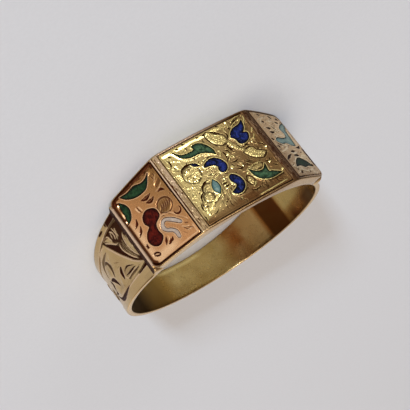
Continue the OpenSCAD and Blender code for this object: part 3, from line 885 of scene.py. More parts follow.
def facet_place(side, u, s, z):
    """From a place on a facet, with z out of the metal, to how the ring lies."""
    turn = -side * SLOPE
    x = side * (FOLD_X + END_X) / 2 + u * math.cos(turn) - z * math.sin(turn)
    y = ((FOLD_Y + END_Y) / 2 if side else FOLD_Y) + u * math.sin(turn) + z * math.cos(turn)
    return lay(x, y, -s)


def sheet_grid(side):
    """Rows of points that fill a plaque's outline, closer together along its edge."""
    half = facet_length(side) / 2 - PLAQUE_GAP
    low, low_r = (LIP_W - half, END_CORNER_R) if side == LEFT else (WEB_W - half, FOLD_CORNER_R)
    high, high_r = (half - LIP_W, END_CORNER_R) if side == RIGHT else (half - WEB_W, FOLD_CORNER_R)
    bend = 1 - np.cos(np.linspace(0, math.pi / 2, 9))
    straight = np.arange(low + low_r, high - high_r, SHEET_STEP)
    u = np.concatenate([low + low_r * bend, straight[1:], high - high_r * bend[::-1]])
    width = facet_half_w(side, u) - LIP_W - PLAQUE_GAP
    for radius, to_end in ((low_r, u - low), (high_r, high - u)):
        short = (radius - to_end).clip(0)
        width = width - radius + np.sqrt(radius ** 2 - short ** 2)
    width = width[:, None]
    rim = np.array(SHEET_RIM)[None]
    middle = np.linspace(-1, 1, int(2 * width.max() / SHEET_STEP))[None] * (width - 0.08)
    s = np.concatenate([rim - width, middle, (width - rim)[:, ::-1]], 1)
    return u[:, None] + 0 * s, s


def sheet(name, side, engrave, paint):
    """A plaque: its engraved face, its edge, and its flat back just clear of the pocket."""
    u, s = sheet_grid(side)
    crown = dome(u, facet_length(side))
    relief = bare(u, s, patina=np.zeros(u.shape), floor=-CELL_T - crown)
    border = inside(side, u, s, PLAQUE_GAP)
    engrave(relief, border)
    # Painted shade darkens each plaque's rim along the gap round it, less on the stretches picked out here.
    less_shaded_rim = {LEFT: (u > 1.7) & (s < 0.5), CENTRE: u < -3.5, RIGHT: (u > -1.2) & (s < -2.5)}[side]
    rim_shade = np.where(less_shaded_rim, 0.1 if side == RIGHT else 0.4, 1)
    darken(relief, ramp(border, 0.078, 0.018) * rim_shade)
    short = (PLAQUE_EDGE_R - border).clip(0, PLAQUE_EDGE_R)
    rounded = PLAQUE_EDGE_R - np.sqrt(PLAQUE_EDGE_R ** 2 - short ** 2)
    number = np.arange(u.size).reshape(u.shape)
    faces = np.stack([number[:-1, :-1], number[1:, :-1], number[1:, 1:], number[:-1, 1:]], -1)
    loop = np.concatenate([number[:, 0], number[-1, 1:], number[-2::-1, -1], number[0, -2:0:-1]])
    under = u.size + np.arange(len(loop))
    edge = np.stack([loop, np.roll(loop, -1), np.roll(under, -1), under], -1)
    top = facet_place(side, u.ravel(), s.ravel(), (crown + relief["h"] - rounded).ravel())
    back = facet_place(side, u.ravel()[loop], s.ravel()[loop], 0 * loop + SEAT_GAP - POCKET_T)
    return solid(name, np.concatenate([top, back]),
                 faces.reshape(-1, 4).tolist() + edge.tolist() + [under.tolist()], paint,
                 {key: np.concatenate([relief[key].ravel(), np.zeros(len(loop))])
                  for key in ("dirt_and_shade", "rubbed_and_highlight", "patina")})


def cell(relief, rows, rim=0.08, rise=0.0, grime=1.0):
    """A cell for enamel, with a bright burnished rim and a dark line just inside it."""
    line = smooth(rows)
    far, _ = nearest(relief["u"], relief["s"], line, 0.4)
    out = np.where(within(relief["u"], relief["s"], line), -far, far)
    relief["h"] *= 1 - ease(ramp(out, 0.26, 0.06))
    bright = (1 - ((out - 0.03 - rim / 2) / (rim / 2)) ** 2).clip(0, 1)
    relief["dirt_and_shade"] *= 1 - bright
    brighten(relief, 0.85 * bright)
    relief["h"] += rise * bright
    sunk = ease(ramp(out, 0.02, -0.02))
    relief["h"] = relief["h"] * (1 - sunk) + relief["floor"] * sunk
    darken(relief, grime * ramp(out, 0.07, 0.04))


# Centre plaque
# The flower spray: two blue blooms and a bud on punched gold stems, with green leaves and one
# turquoise petal. The ground between them is chased with short strokes that run out from the
# blooms, and the leaves are punched in rows so that they glitter.

# An outline is rows of u along and s across the facet in mm, and a 1 marks a sharp tip. A grain
# has u, s and its radius.
CENTRE_CELLS = {
    "centre_leaf_upper": [(-2.85, 3.05, 1), (-2.5, 2.35), (-1.9, 2.03), (-1.0, 1.95),
                          (-0.4, 1.65), (-0.03, 1.32, 1), (-0.02, 1.8), (-0.3, 2.4),
                          (-0.75, 2.78), (-1.3, 2.78, 1), (-1.3, 2.45), (-1.8, 2.42),
                          (-2.4, 2.55)],
    "centre_leaf_lower": [(1.38, -1.05, 1), (1.5, -1.75), (1.9, -2.25), (2.6, -2.5),
                          (3.55, -2.45, 1), (3.0, -2.08), (2.68, -1.9), (2.78, -1.25, 1),
                          (2.5, -1.55), (2.1, -1.6), (1.7, -1.4)],
    "blue_petal_upper": [(3.52, 2.9, 1), (3.1, 2.64), (2.5, 2.55), (2.1, 2.3), (1.85, 1.97, 1),
                         (2.1, 1.65), (2.2, 1.15), (2.65, 1.07), (3.1, 1.3), (3.28, 1.72),
                         (2.95, 1.9, 1), (3.3, 2.25)],
    "blue_petal_middle": [(-1.45, 0.8), (-1.1, 0.7), (-0.72, 0.58), (-0.52, 0.32),
                          (-0.62, 0.05), (-0.55, -0.2), (-0.3, -0.3), (0.02, -0.12),
                          (0.15, 0.3), (-0.05, 0.8), (-0.5, 1.13), (-1.1, 1.08)],
    "blue_petal_lower": [(-0.05, -0.75), (-0.33, -0.9), (-0.36, -1.25), (-0.18, -1.65),
                         (-0.4, -1.9), (-0.8, -2.08), (-0.6, -2.35), (-0.15, -2.38),
                         (0.3, -2.05), (0.44, -1.55), (0.28, -1.05)],
    "blue_petal_small": [(-2.25, 1.57, 1), (-2.1, 1.25), (-1.72, 1.08, 1), (-1.9, 1.42)],
    "turquoise_petal": [(-1.55, -0.38, 1), (-1.88, -0.8), (-1.96, -1.25), (-1.72, -1.66, 1),
                        (-1.42, -1.3), (-1.36, -0.8)]}
BLOOMS = np.array([(-2.6, 0.8), (-0.7, -0.5), (2.6, 1.9), (2.1, -1.6), (0.7, 0.9)])
PUNCHED_LEAF = [(0.15, 3.09), (0.4, 3.27), (0.7, 3.1), (1.03, 2.78), (1.4, 2.53), (1.53, 2.2),
                (1.45, 1.8), (1.2, 1.7), (0.85, 1.7), (0.4, 2.1), (0.2, 2.5)]
PUNCHED_BUD = [(2.0, 0.4), (2.53, 0.6), (2.9, 0.5), (3.03, 0.15), (3.5, -0.2), (3.6, -0.4),
               (3.15, -0.7), (2.7, -0.57), (2.4, -0.35), (2.15, 0)]
PUNCHED_STEM = [(1.4, 1.95), (1.55, 1.4), (1.75, 1.0), (2.05, 0.7), (2.2, 0.4)]
HALF_LEAF = [(1.62, -1.02), (2.1, -0.93), (2.62, -1.0), (2.62, -1.3), (2.35, -1.42), (2.0, -1.4),
             (1.75, -1.25)]
SIDE_LEAF = [(0.95, -1.45), (1.22, -1.65), (1.28, -2.05), (1.0, -2.35), (0.78, -2.1), (0.78, -1.7)]
GRAINS = [(0.4, -0.25, 0.16), (3.84, 0, 0.1), (3.76, -2.26, 0.12), (3.3, -1.23, 0.12),
          (0.78, 0.85, 0.14), (-2.1, 0.3, 0.09), (1.9, 2.02, 0.1), (2.12, 0.92, 0.09),
          (-1.2, 2.88, 0.07), (1.15, -1.25, 0.1), (3.1, 0.85, 0.09)]


def ring_points(u, s, radius, start=0, end=360, count=14):
    """Points along an arc, from one angle to another in degrees."""
    angles = np.radians(np.linspace(start, end, count, endpoint=end - start != 360))
    return [(u + radius * math.cos(a), s + radius * math.sin(a)) for a in angles]


def punch(relief, where, spacing, depth, seed):
    """Rows of round punch marks, each a little out of line, over a region."""
    rng = np.random.default_rng(seed)
    u, s = relief["u"], relief["s"]
    low_u, high_u = u[where].min(), u[where].max()
    low_s, high_s = s[where].min(), s[where].max()
    marks = np.zeros(u.shape)
    for row, cu in enumerate(np.arange(low_u, high_u, spacing * 0.87)):
        for cs in np.arange(low_s + row % 2 * spacing / 2, high_s, spacing):
            du, ds = rng.uniform(-0.25, 0.25, 2) * spacing
            size = spacing * rng.uniform(0.42, 0.6)
            near = (np.abs(u - cu - du) < size) & (np.abs(s - cs - ds) < size)
            gap = np.hypot(u[near] - cu - du, s[near] - cs - ds) / size
            marks[near] = np.maximum(marks[near], (1 - gap ** 2).clip(0, 1))
    relief["h"] -= depth * marks * where
    darken(relief, 0.42 * marks * where)
    relief["rubbed_and_highlight"] *= 1 - 0.5 * marks * where


def bump(relief, u, s, radius):
    """A small round grain that stands up from the ground."""
    gap = np.hypot(relief["u"] - u, relief["s"] - s) / radius
    up = np.sqrt((1 - gap ** 2).clip(0, 1))
    relief["h"] += 0.05 * up
    relief["dirt_and_shade"] *= 1 - up
    brighten(relief, up)


def leaf_of_gold(relief, points, rise, shine):
    """A raised leaf with a dark line round it; says where it is."""
    cut(relief, points, 0.15, 0.03, closed=True, grime=0.8)
    lift = plateau(relief, points, rise, 0.14)
    brighten(relief, shine * lift)
    relief["dirt_and_shade"] *= 1 - 0.8 * lift
    return lift


def ray(rng, low, high, lean, short, long, bend):
    """A bent stroke at a random place between two corners, that runs out from the nearest bloom."""
    at = np.array([rng.uniform(low[0], high[0]), rng.uniform(low[1], high[1])])
    bloom = BLOOMS[np.argmin(np.hypot(*(BLOOMS - at).T))]
    turn = math.atan2(*(at - bloom)[::-1]) + rng.uniform(-lean, lean)
    way = rng.uniform(short, long) * np.array([math.cos(turn), math.sin(turn)])
    return [at - way, at + rng.uniform(-bend, bend) * np.array([-way[1], way[0]]), at + way]


def chase_centre(relief, border):
    """The centre plaque's ground of fine strokes, its painted shade and highlights, then its spray and its
    cells.
    """
    u, s = relief["u"], relief["s"]
    rng = np.random.default_rng(11)
    field = ramp(border, 0.1, 0.22)
    relief["h"] -= 0.035 * field + 0.02 * (s / 3.5) ** 2
    # Painted shade: the sheet browns towards its right and its near side, most along its near edge.
    relief["patina"] = (0.55 + 0.16 * u - 0.12 * s + 0.9 * ramp(s, -2.7, -3.1)).clip(0, 1)
    for _ in range(420):
        cut(relief, ray(rng, (-3.85, -3.2), (3.85, 3.1), 0.6, 0.1, 0.34, 0.35),
            rng.uniform(0.07, 0.15), rng.uniform(0.01, 0.024), grime=rng.uniform(0.1, 1) ** 1.6)
    # Raised strokes whose painted highlight is stronger towards the left.
    for _ in range(150):
        stroke = ray(rng, (-3.8, -2.9), (3.8, 2.9), 0.5, 0.12, 0.3, 0.3)
        at = (stroke[0][0] + stroke[2][0]) / 2
        bead(relief, stroke, rng.uniform(0.06, 0.11), 0.02,
             shine=rng.uniform(0.15, 0.6) * (0.75 - 0.08 * at))
    # More raised strokes with strong painted highlights on the left half.
    for _ in range(110):
        bead(relief, ray(rng, (-3.75, -2.4), (-0.6, 2.9), 0.4, 0.15, 0.4, 0.2),
             rng.uniform(0.05, 0.08), 0.015, shine=rng.uniform(0.4, 0.9))
    # A painted highlight: the ground lighter towards the left and the far side, short of the near edge.
    brighten(relief, ((-1.2 - u + 0.2 * s) / 3.5).clip(0, 0.4) * ramp(s, -3.1, -2.5) * field)
    # A painted highlight on a sloped strip along the far edge, over its left part.
    far_edge_highlight = ramp(s, 2.92, 3.02) * ramp(u, 2.3, 0.9) * field
    relief["h"] = relief["h"] * (1 - far_edge_highlight) + far_edge_highlight * (0.18 * (s - 3.2) - 0.01)
    relief["dirt_and_shade"] *= 1 - far_edge_highlight
    brighten(relief, 0.95 * far_edge_highlight)
    for k in range(11):
        at = -2.72 - 0.05 * k
        cut(relief, [(-0.9 + 0.3 * (k % 3), at), (1.2, at + 0.02), (3.6 - 0.25 * (k % 2), at + 0.05)],
            0.06, 0.012, grime=0.6 if k % 2 else 0.3)
    for seed, (line, rise, shine, grain) in enumerate((
            (PUNCHED_LEAF, 0.045, 0.65, 0.17), (PUNCHED_BUD, 0.045, 0.7, 0.17),
            (ring_points(-2.62, 0.75, 0.72), 0.03, 0.45, 0), (ring_points(-2.2, -0.92, 0.48), 0.03, 0.3, 0),
            (ring_points(-2.6, -1.5, 0.42), 0.03, 0.4, 0), (HALF_LEAF, 0.035, 0.35, 0),
            (SIDE_LEAF, 0.035, 0.5, 0.13)), 1):
        lift = leaf_of_gold(relief, line, rise, shine)
        if grain:
            punch(relief, lift > 0.7, grain, 0.02, seed)
    bead(relief, PUNCHED_STEM, 0.36, 0.05, dots=9, shine=0.75)
    cut(relief, [(1.3, 1.7), (1.2, 1.25), (1.35, 0.75)], 0.14, 0.05)
    cut(relief, [(1.95, 1.35), (1.95, 0.95), (2.2, 0.68)], 0.12, 0.05)
    for cu, cs, radius, start, end in (
            (-2.85, 1.0, 0.26, 20, 200), (-2.4, 1.05, 0.24, 0, 170), (-2.95, 0.5, 0.24, 60, 270),
            (-2.55, 0.55, 0.22, -20, 150), (-2.2, 0.65, 0.22, -60, 120), (-2.6, 0.2, 0.26, 190, 350),
            (-2.3, -0.95, 0.26, 40, 220), (-2.45, -1.35, 0.2, 0, 180), (-2.8, -1.5, 0.2, 60, 240),
            (-2.5, -1.75, 0.2, 180, 350)):
        cut(relief, ring_points(cu, cs, radius, start, end, 7), 0.09, 0.03, grime=0.75)
        bead(relief, ring_points(cu, cs, radius - 0.09, start, end, 6), 0.08, 0.02, shine=0.6)
    for du, ds in ((-2.95, 1.08), (-2.62, 1.28), (-2.8, 0.75), (-2.68, 0.45), (-2.12, 0.3), (-3.05, 0.75)):
        cut(relief, [(du - 0.07, ds), (du + 0.07, ds - 0.02)], 0.14, 0.04)
    for rows in CENTRE_CELLS.values():
        cell(relief, rows, 0.1, 0.014)
    cut(relief, ring_points(-2.6, 0.82, 0.8, 150, 30), 0.2, 0.06)
    cut(relief, ring_points(-2.15, -0.95, 0.6, 185, 75), 0.15, 0.06)
    cut(relief, ring_points(-2.65, -1.5, 0.55, 200, 80), 0.15, 0.05)
    cut(relief, [(0.62, 3.2), (1.05, 2.92), (1.4, 2.6)], 0.16, 0.05)
    cut(relief, [(0.08, 3.1), (0.12, 2.7), (0.28, 2.25)], 0.1, 0.04)
    bead(relief, [(-2.98, -1.6), (-3.2, -1.9), (-3.35, -2.4), (-3.3, -2.8)], 0.2, 0.05, dots=5)
    for stroke in (
            [(-3.79, -0.94), (-3.3, -0.75), (-2.98, -0.6)], [(-3.82, -1.15), (-3.6, -1.35)],
            [(-3.85, 0.05), (-3.2, -0.15), (-2.9, -0.3)], [(-1.75, 1.25), (-1.3, 1.35), (-0.85, 1.38)],
            [(-1.85, 0.9), (-1.6, 0.92), (-1.35, 0.88)], [(-1.9, 0.6), (-1.5, 0.62), (-1.15, 0.55)],
            [(-1.65, 0.2), (-1.2, 0.35), (-0.85, 0.45)], [(-1.5, -0.15), (-1.1, -0.1), (-0.75, 0.05)],
            [(-1.3, -0.35), (-0.95, -0.3), (-0.7, -0.25)], [(-3.4, 2.55), (-2.95, 2.3), (-2.7, 2.1)],
            [(-3.5, 2.1), (-3.1, 1.9)], [(2.24, 3.4), (2.26, 3.1), (2.2, 2.75)],
            [(1.82, 3.0), (1.76, 2.65)], [(2.35, 2.72), (2.9, 2.95), (3.55, 3.12)],
            [(3.6, 3.3), (3.1, 3.3), (2.6, 3.1)], [(3.9, 3.25), (3.75, 2.8), (3.45, 2.4)],
            [(3.92, 1.98), (3.75, 1.75), (3.62, 1.6)], [(3.7, 1.42), (3.55, 1.2), (3.38, 1.08)],
            [(-0.95, -0.72), (-0.6, -0.78), (-0.4, -0.7)], [(-1.1, -1.0), (-0.8, -1.02), (-0.55, -0.95)],
            [(-1.1, -1.28), (-0.85, -1.3), (-0.62, -1.24)],
            [(-1.05, -1.55), (-0.8, -1.55), (-0.6, -1.48)], [(0.88, -2.45), (1.1, -2.35), (1.28, -2.1)],
            [(1.55, -0.98), (2.1, -0.88), (2.68, -0.96)], [(0.75, -3.27), (2.2, -3.24), (3.65, -3.18)],
            [(0.1, 0.95), (0.35, 1.25), (0.3, 1.55)], [(0.55, 0.35), (0.85, 0.55), (1.2, 0.5)]):
        bead(relief, stroke, 0.13, 0.035, shine=0.75)
    for stroke in (
            [(2.46, 2.84), (2.95, 3.08), (3.46, 3.2)], [(1.03, 1.46), (1.28, 1.25), (1.34, 0.96)],
            [(1.5, -0.1), (1.8, -0.5), (2.2, -0.8)], [(1.5, -0.45), (1.75, -0.75)],
            [(-1.2, 0.92), (-1.5, 0.98)], [(0.65, 1.3), (0.95, 1.1), (1.0, 0.8)],
            [(0.5, 0.15), (0.9, 0.05), (1.3, 0.15)], [(0.62, -1.5), (0.7, -1.9), (0.85, -2.3)],
            [(-1.15, -1.15), (-0.65, -1.12)], [(-1.1, -1.42), (-0.65, -1.38)],
            [(-2.55, -0.4), (-2.1, -0.25), (-1.75, -0.3)], [(-3.4, -1.5), (-3.55, -2.0), (-3.5, -2.4)],
            [(1.7, -0.15), (1.95, -0.45), (2.3, -0.72)], [(1.55, 1.9), (1.75, 2.3), (1.7, 2.7)],
            [(2.1, 2.75), (2.4, 2.7)], [(-3.75, 1.9), (-3.5, 2.3), (-3.6, 2.8)],
            [(-3.35, 1.75), (-3.45, 2.0)], [(3.4, 0.6), (3.7, 0.4), (3.85, 0.1)],
            [(3.5, -0.9), (3.3, -1.15), (2.95, -1.05)], [(0.45, 0.55), (0.6, 0.85), (0.5, 1.15)],
            [(-1.7, 0.12), (-1.4, 0.05), (-1.15, 0.12)], [(0.6, -0.55), (1.0, -0.7), (1.35, -0.6)],
            [(0.5, -2.6), (0.9, -2.75), (1.4, -2.7)], [(2.1, 0.75), (2.5, 0.85), (2.9, 0.75)]):
        cut(relief, stroke, 0.13, 0.045)
    for at in ((-2.4, 3.18), (-1.76, 3.28), (-0.48, 3.24), (1.46, 3.3), (-3.2, 2.9), (0.05, 3.2)):
        cut(relief, [(at[0] - 0.14, at[1] + 0.06), at, (at[0] + 0.16, at[1] - 0.07)], 0.16, 0.06)
    for grain in GRAINS:
        bump(relief, *grain)
    cut(relief, [(-1.72, -1.9), (-2.1, -2.02), (-2.46, -2.16), (-2.8, -2.42)], 0.1, 0.03, grime=0.7)
    # A painted highlight along the lower-left stem, a broad low ridge.
    bead(relief, [(-1.62, -1.72), (-2.1, -1.83), (-2.48, -1.97), (-2.85, -2.22), (-3.02, -2.45)],
         0.24, 0.03, shine=1.0)


# Chased sheet breaks the light into many small glints. It is a shade greener than the hoop, and where patina
# and painted shade brown it, it stays warm.
yellow_sheet = gold("18 carat yellow gold sheet, chased", "#B49458", "#DCC286", "#6A4524",
                    "#2C1203", "#F2DC8C", 0.25, 0.12)
centre_plaque = sheet("centre_plaque_gold", CENTRE, chase_centre, yellow_sheet)
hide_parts("centre_plaque")

# Left plaque
# Two dark red berries, a white bloom and green leaves on rose gold. The graver's cuts are
# short, deep and bright at their edges, and the metal between them is left plain.
LEFT_CELLS = {
    "left_leaf_long": [(-1.4, 2.95, 1), (-1.05, 2.5), (-0.5, 2.15), (0.15, 2.0), (0.8, 2.1),
                       (1.5, 2.88, 1), (1.1, 2.68), (0.6, 2.64), (0.0, 2.87), (-0.7, 2.82)],
    "left_leaf_short": [(-1.8, 2.75, 1), (-1.93, 2.25), (-1.98, 1.6), (-2.12, 0.88, 1),
                        (-1.65, 1.1), (-1.35, 1.65), (-1.42, 2.2)],
    "left_berries": [(-0.3, 0.73), (-0.83, 0.52), (-1.02, 0.05), (-0.87, -0.42),
                     (-1.28, -0.68), (-1.6, -1.2), (-1.42, -1.78), (-0.95, -2.02),
                     (-0.42, -1.68), (-0.46, -1.1), (-0.28, -0.58), (0.32, -0.25),
                     (0.3, 0.38)],
    "left_bud": [(0.4, -0.68), (-0.02, -0.85), (-0.18, -1.25), (0.05, -1.65), (0.42, -2.0),
                 (0.5, -2.6), (0.72, -2.62), (0.78, -2.1), (0.5, -1.68), (0.17, -1.4),
                 (0.2, -1.05), (0.45, -0.95), (0.8, -1.3), (1.32, -1.85), (1.46, -1.7),
                 (1.0, -1.05)]}


def engrave_left(relief, border):
    """The left plaque's worn edges, its painted light and shade, its engraving and its cells."""
    u, s = relief["u"], relief["s"]
    relief["h"] -= 0.03 * ramp(border, 0.1, 0.22) * (s > 2.6)
    # Painted light and shade: the sheet browns towards its right end and far side, and is painted pale at
    # its left end and along its near side.
    relief["patina"] = (0.2 + 0.2 * u + 0.14 * s).clip(0, 0.95)
    painted_light_end = np.exp(-((u + 2.0) / 0.45) ** 2) * ramp(s, 1.2, -0.3)
    painted_light_side = np.exp(-((s + 2.75) / 0.4) ** 2) * ramp(u, 0.8, -0.4)
    relief["rubbed_and_highlight"] = (1.1 * (painted_light_end + painted_light_side)).clip(0, 1)
    worn_side = np.maximum(ramp(u, -1.8, -1.92), ramp(s, 2.85, 2.95))
    frame_line = ramp(border, 0.0805, 0.0105) * np.where((u > 1.7) & (s < 0.5), 0.3, 1)
    frame_line = np.maximum(frame_line, worn_side * ramp(border, 0.3, 0.2))
    relief["rubbed_and_highlight"] *= 1 - frame_line
    relief["patina"] = np.maximum(relief["patina"], worn_side * frame_line)
    darken(relief, (0.5 + 0.35 * worn_side) * frame_line)
    at_end = ramp(u, -1.6, -1.8) * ramp(s, 1.0, 0.7)
    at_side = (1 - at_end) * ramp(s, -2.4, -2.6)
    brighten(relief, 0.9 * at_end * ridge(border, 0.36, 0.07))
    brighten(relief, 0.9 * at_side * ridge(border, 0.15, 0.07))
    disc = ring_points(1.1, 0.05, 0.62, count=8)
    leaf_of_gold(relief, disc, 0.004, 0)
    relief["patina"] = np.where(within(u, s, smooth(disc)), 0.9, relief["patina"])
    for k in range(10):
        lean = 0.12 * k - 0.55
        cut(relief, [(0.9 + lean, -0.42 + 0.25 * abs(lean)), (1.2 + lean * 0.8, 0.05),
                     (1.3 + lean * 0.8, 0.5)], 0.11, 0.02, grime=0.85 if k % 2 else 0.6)
    shade_in(relief, disc, 0.1, 0.3)
    bead(relief, ring_points(0.45, -1.35, 0.95, 175, 0), 0.2, 0.025, shine=0.45)
    bead(relief, [(1.42, -1.25), (1.75, -1.6), (1.95, -2.0)], 0.14, 0.02, shine=0.3)
    for name, rows in LEFT_CELLS.items():
        cell(relief, rows, grime=0.5 if name == "left_bud" else 1)
    for sickle in ([(-0.2, 1.6), (0.1, 1.48), (0.4, 1.46), (0.76, 1.56)],
                   [(0.02, 1.2), (0.3, 1.08), (0.55, 1.06), (0.84, 1.18)]):
        cut(relief, sickle, 0.34, 0.05)
        cut(relief, sickle[1:], 0.22, 0.02)
    hollow(relief, [(1.42, 1.5), (1.95, 1.72), (2.0, 2.05), (1.7, 2.0), (1.35, 1.75)], 0.02, 0.07, 0.7,
           spread=3)
    cut(relief, [(-0.78, 1.55), (-0.76, 1.15), (-0.64, 0.78)], 0.1, 0.04)
    for stroke, width, shine in (
            ([(-0.05, 1.55), (0.3, 1.5), (0.66, 1.54)], 0.04, 0.1),
            ([(0.2, 1.13), (0.45, 1.1), (0.72, 1.14)], 0.04, 0.1),
            ([(-0.92, 1.5), (-0.9, 1.2), (-0.8, 0.92)], 0.13, 0.95),
            ([(-0.66, 1.42), (-0.6, 1.15), (-0.54, 0.9)], 0.11, 0.95),
            ([(1.3, 1.75), (1.7, 2.2), (2.0, 2.45)], 0.08, 0.3),
            ([(1.1, 1.32), (1.6, 1.42), (2.0, 1.65)], 0.08, 0.4),
            ([(1.2, -2.05), (1.45, -2.3), (1.75, -2.45)], 0.1, 0.8),
            ([(1.4, -2.6), (1.65, -2.68), (1.9, -2.62)], 0.1, 0.8),
            ([(-0.12, -1.85), (-0.1, -2.05), (-0.2, -2.25)], 0.08, 0.5)):
        bead(relief, stroke, width, 0.01, shine=shine)
    for stroke in (
            [(-1.36, 0.8), (-1.55, 0.42), (-1.88, 0.2)], [(-1.4, 0.15), (-1.62, -0.22), (-2.0, -0.55)],
            [(-1.85, -1.25), (-1.92, -1.5), (-1.87, -1.7)], [(-0.25, -1.85), (-0.4, -2.1), (-0.6, -2.42)],
            [(-0.05, -2.22), (-0.2, -2.42), (-0.42, -2.5)], [(0.18, -2.2), (0.02, -2.38), (-0.15, -2.45)],
            [(1.28, 1.2), (1.6, 1.22), (1.85, 0.98)], [(-1.95, 2.95), (-2.0, 2.6)]):
        cut(relief, stroke, 0.24, 0.04)
    for stroke in (
            [(0.5, 0.1), (0.62, 0.5), (1.05, 0.7), (1.5, 0.55)],
            [(1.74, 0.3), (1.72, -0.2), (1.4, -0.52)], [(0.55, -0.2), (0.85, -0.46), (1.3, -0.6)],
            [(1.95, 0.6), (2.0, 0.4)], [(1.25, -2.2), (1.4, -2.45), (1.6, -2.75)],
            [(1.5, -2.45), (1.8, -2.65), (1.97, -2.85)], [(1.5, -2.0), (1.85, -2.25)],
            [(1.75, 2.7), (1.85, 2.3)], [(1.5, 2.7), (1.6, 2.3), (1.45, 2.0)]):
        cut(relief, stroke, 0.1, 0.03, grime=0.8)
    # Painted shade inside the small cup.
    shade_in(relief, ring_points(1.7, -0.88, 0.32), 0.1, 0.45)
    cut(relief, ring_points(1.7, -0.88, 0.29, 150, 400), 0.18, 0.04)
    to_bud, _ = nearest(u, s, smooth(LEFT_CELLS["left_bud"]), 0.3)
    darken(relief, 0.5 * ridge(to_bud, 0.1, 0.1) * ramp(u, 1.2, 0.6))
    cut(relief, ring_points(0.4, -1.3, 0.36, 30, 160, 6), 0.1, 0.03, grime=0.6)
    cut(relief, [(0.95, -2.3), (1.1, -2.6), (1.35, -2.9)], 0.08, 0.03, grime=0.4)
    lean = math.radians(-35)
    eye = [(-1.63 + 0.26 * x * math.cos(lean) - 0.12 * y * math.sin(lean),
            -2.43 + 0.26 * x * math.sin(lean) + 0.12 * y * math.cos(lean))
           for x, y in ring_points(0, 0, 1, count=10)]
    cut(relief, eye, 0.14, 0.06, closed=True)
    rng = np.random.default_rng(5)
    darken(relief, 0.6 * ramp(s, 2.95, 3.05) * ((u + 1.6) / 0.6).clip(0.4, 1))
    for _ in range(70):
        at, high = rng.uniform(-1.9, 1.9), rng.uniform(2.98, 3.28)
        cut(relief, [(at - 0.15, high), (at + 0.15, high + rng.uniform(-0.03, 0.03))], 0.08, 0.02,
            grime=0.8)
    for _ in range(60):
        at = np.array([rng.uniform(-1.9, 1.95), rng.uniform(-2.8, 2.7)])
        way = rng.uniform(0.1, 0.3) * np.array([0.6, 0.8])
        cut(relief, [at - way, at + way], 0.06, 0.008, grime=rng.uniform(0.05, 0.3))


# A satin rose ground gives one broad soft glow, orange beside the yellow hoop.
rose_sheet = gold("15 carat rose gold sheet, satin", "#C68752", "#E4A66E", "#846030", "#42190A",
                  "#FFCD98", 0.26, 0.1)
left_plaque = sheet("left_plaque_gold", LEFT, engrave_left, rose_sheet)
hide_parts("left_plaque")

# Right plaque
# The same rose gold sheet, with a turquoise scroll that ends in a curl, one green leaf, and
# long slanting cuts.
RIGHT_CELLS = {
    "right_scroll": [(2.25, 2.3), (1.5, 2.05), (0.85, 1.62), (1.0, 1.15), (0.75, 0.72),
                     (0.0, 0.58), (-0.8, 0.62), (-1.3, 0.3), (-0.7, 0.02), (0.1, 0.1),
                     (0.7, -0.12), (1.35, -0.1), (1.55, 0.6), (1.7, 1.4), (2.2, 1.95)],
    "right_leaf": [(-1.3, -2.35, 1), (-0.6, -2.25), (0.1, -2.4), (0.8, -2.25), (1.6, -2.3, 1),
                   (1.2, -1.85), (0.6, -1.6), (0.0, -1.5), (-0.7, -1.8)]}


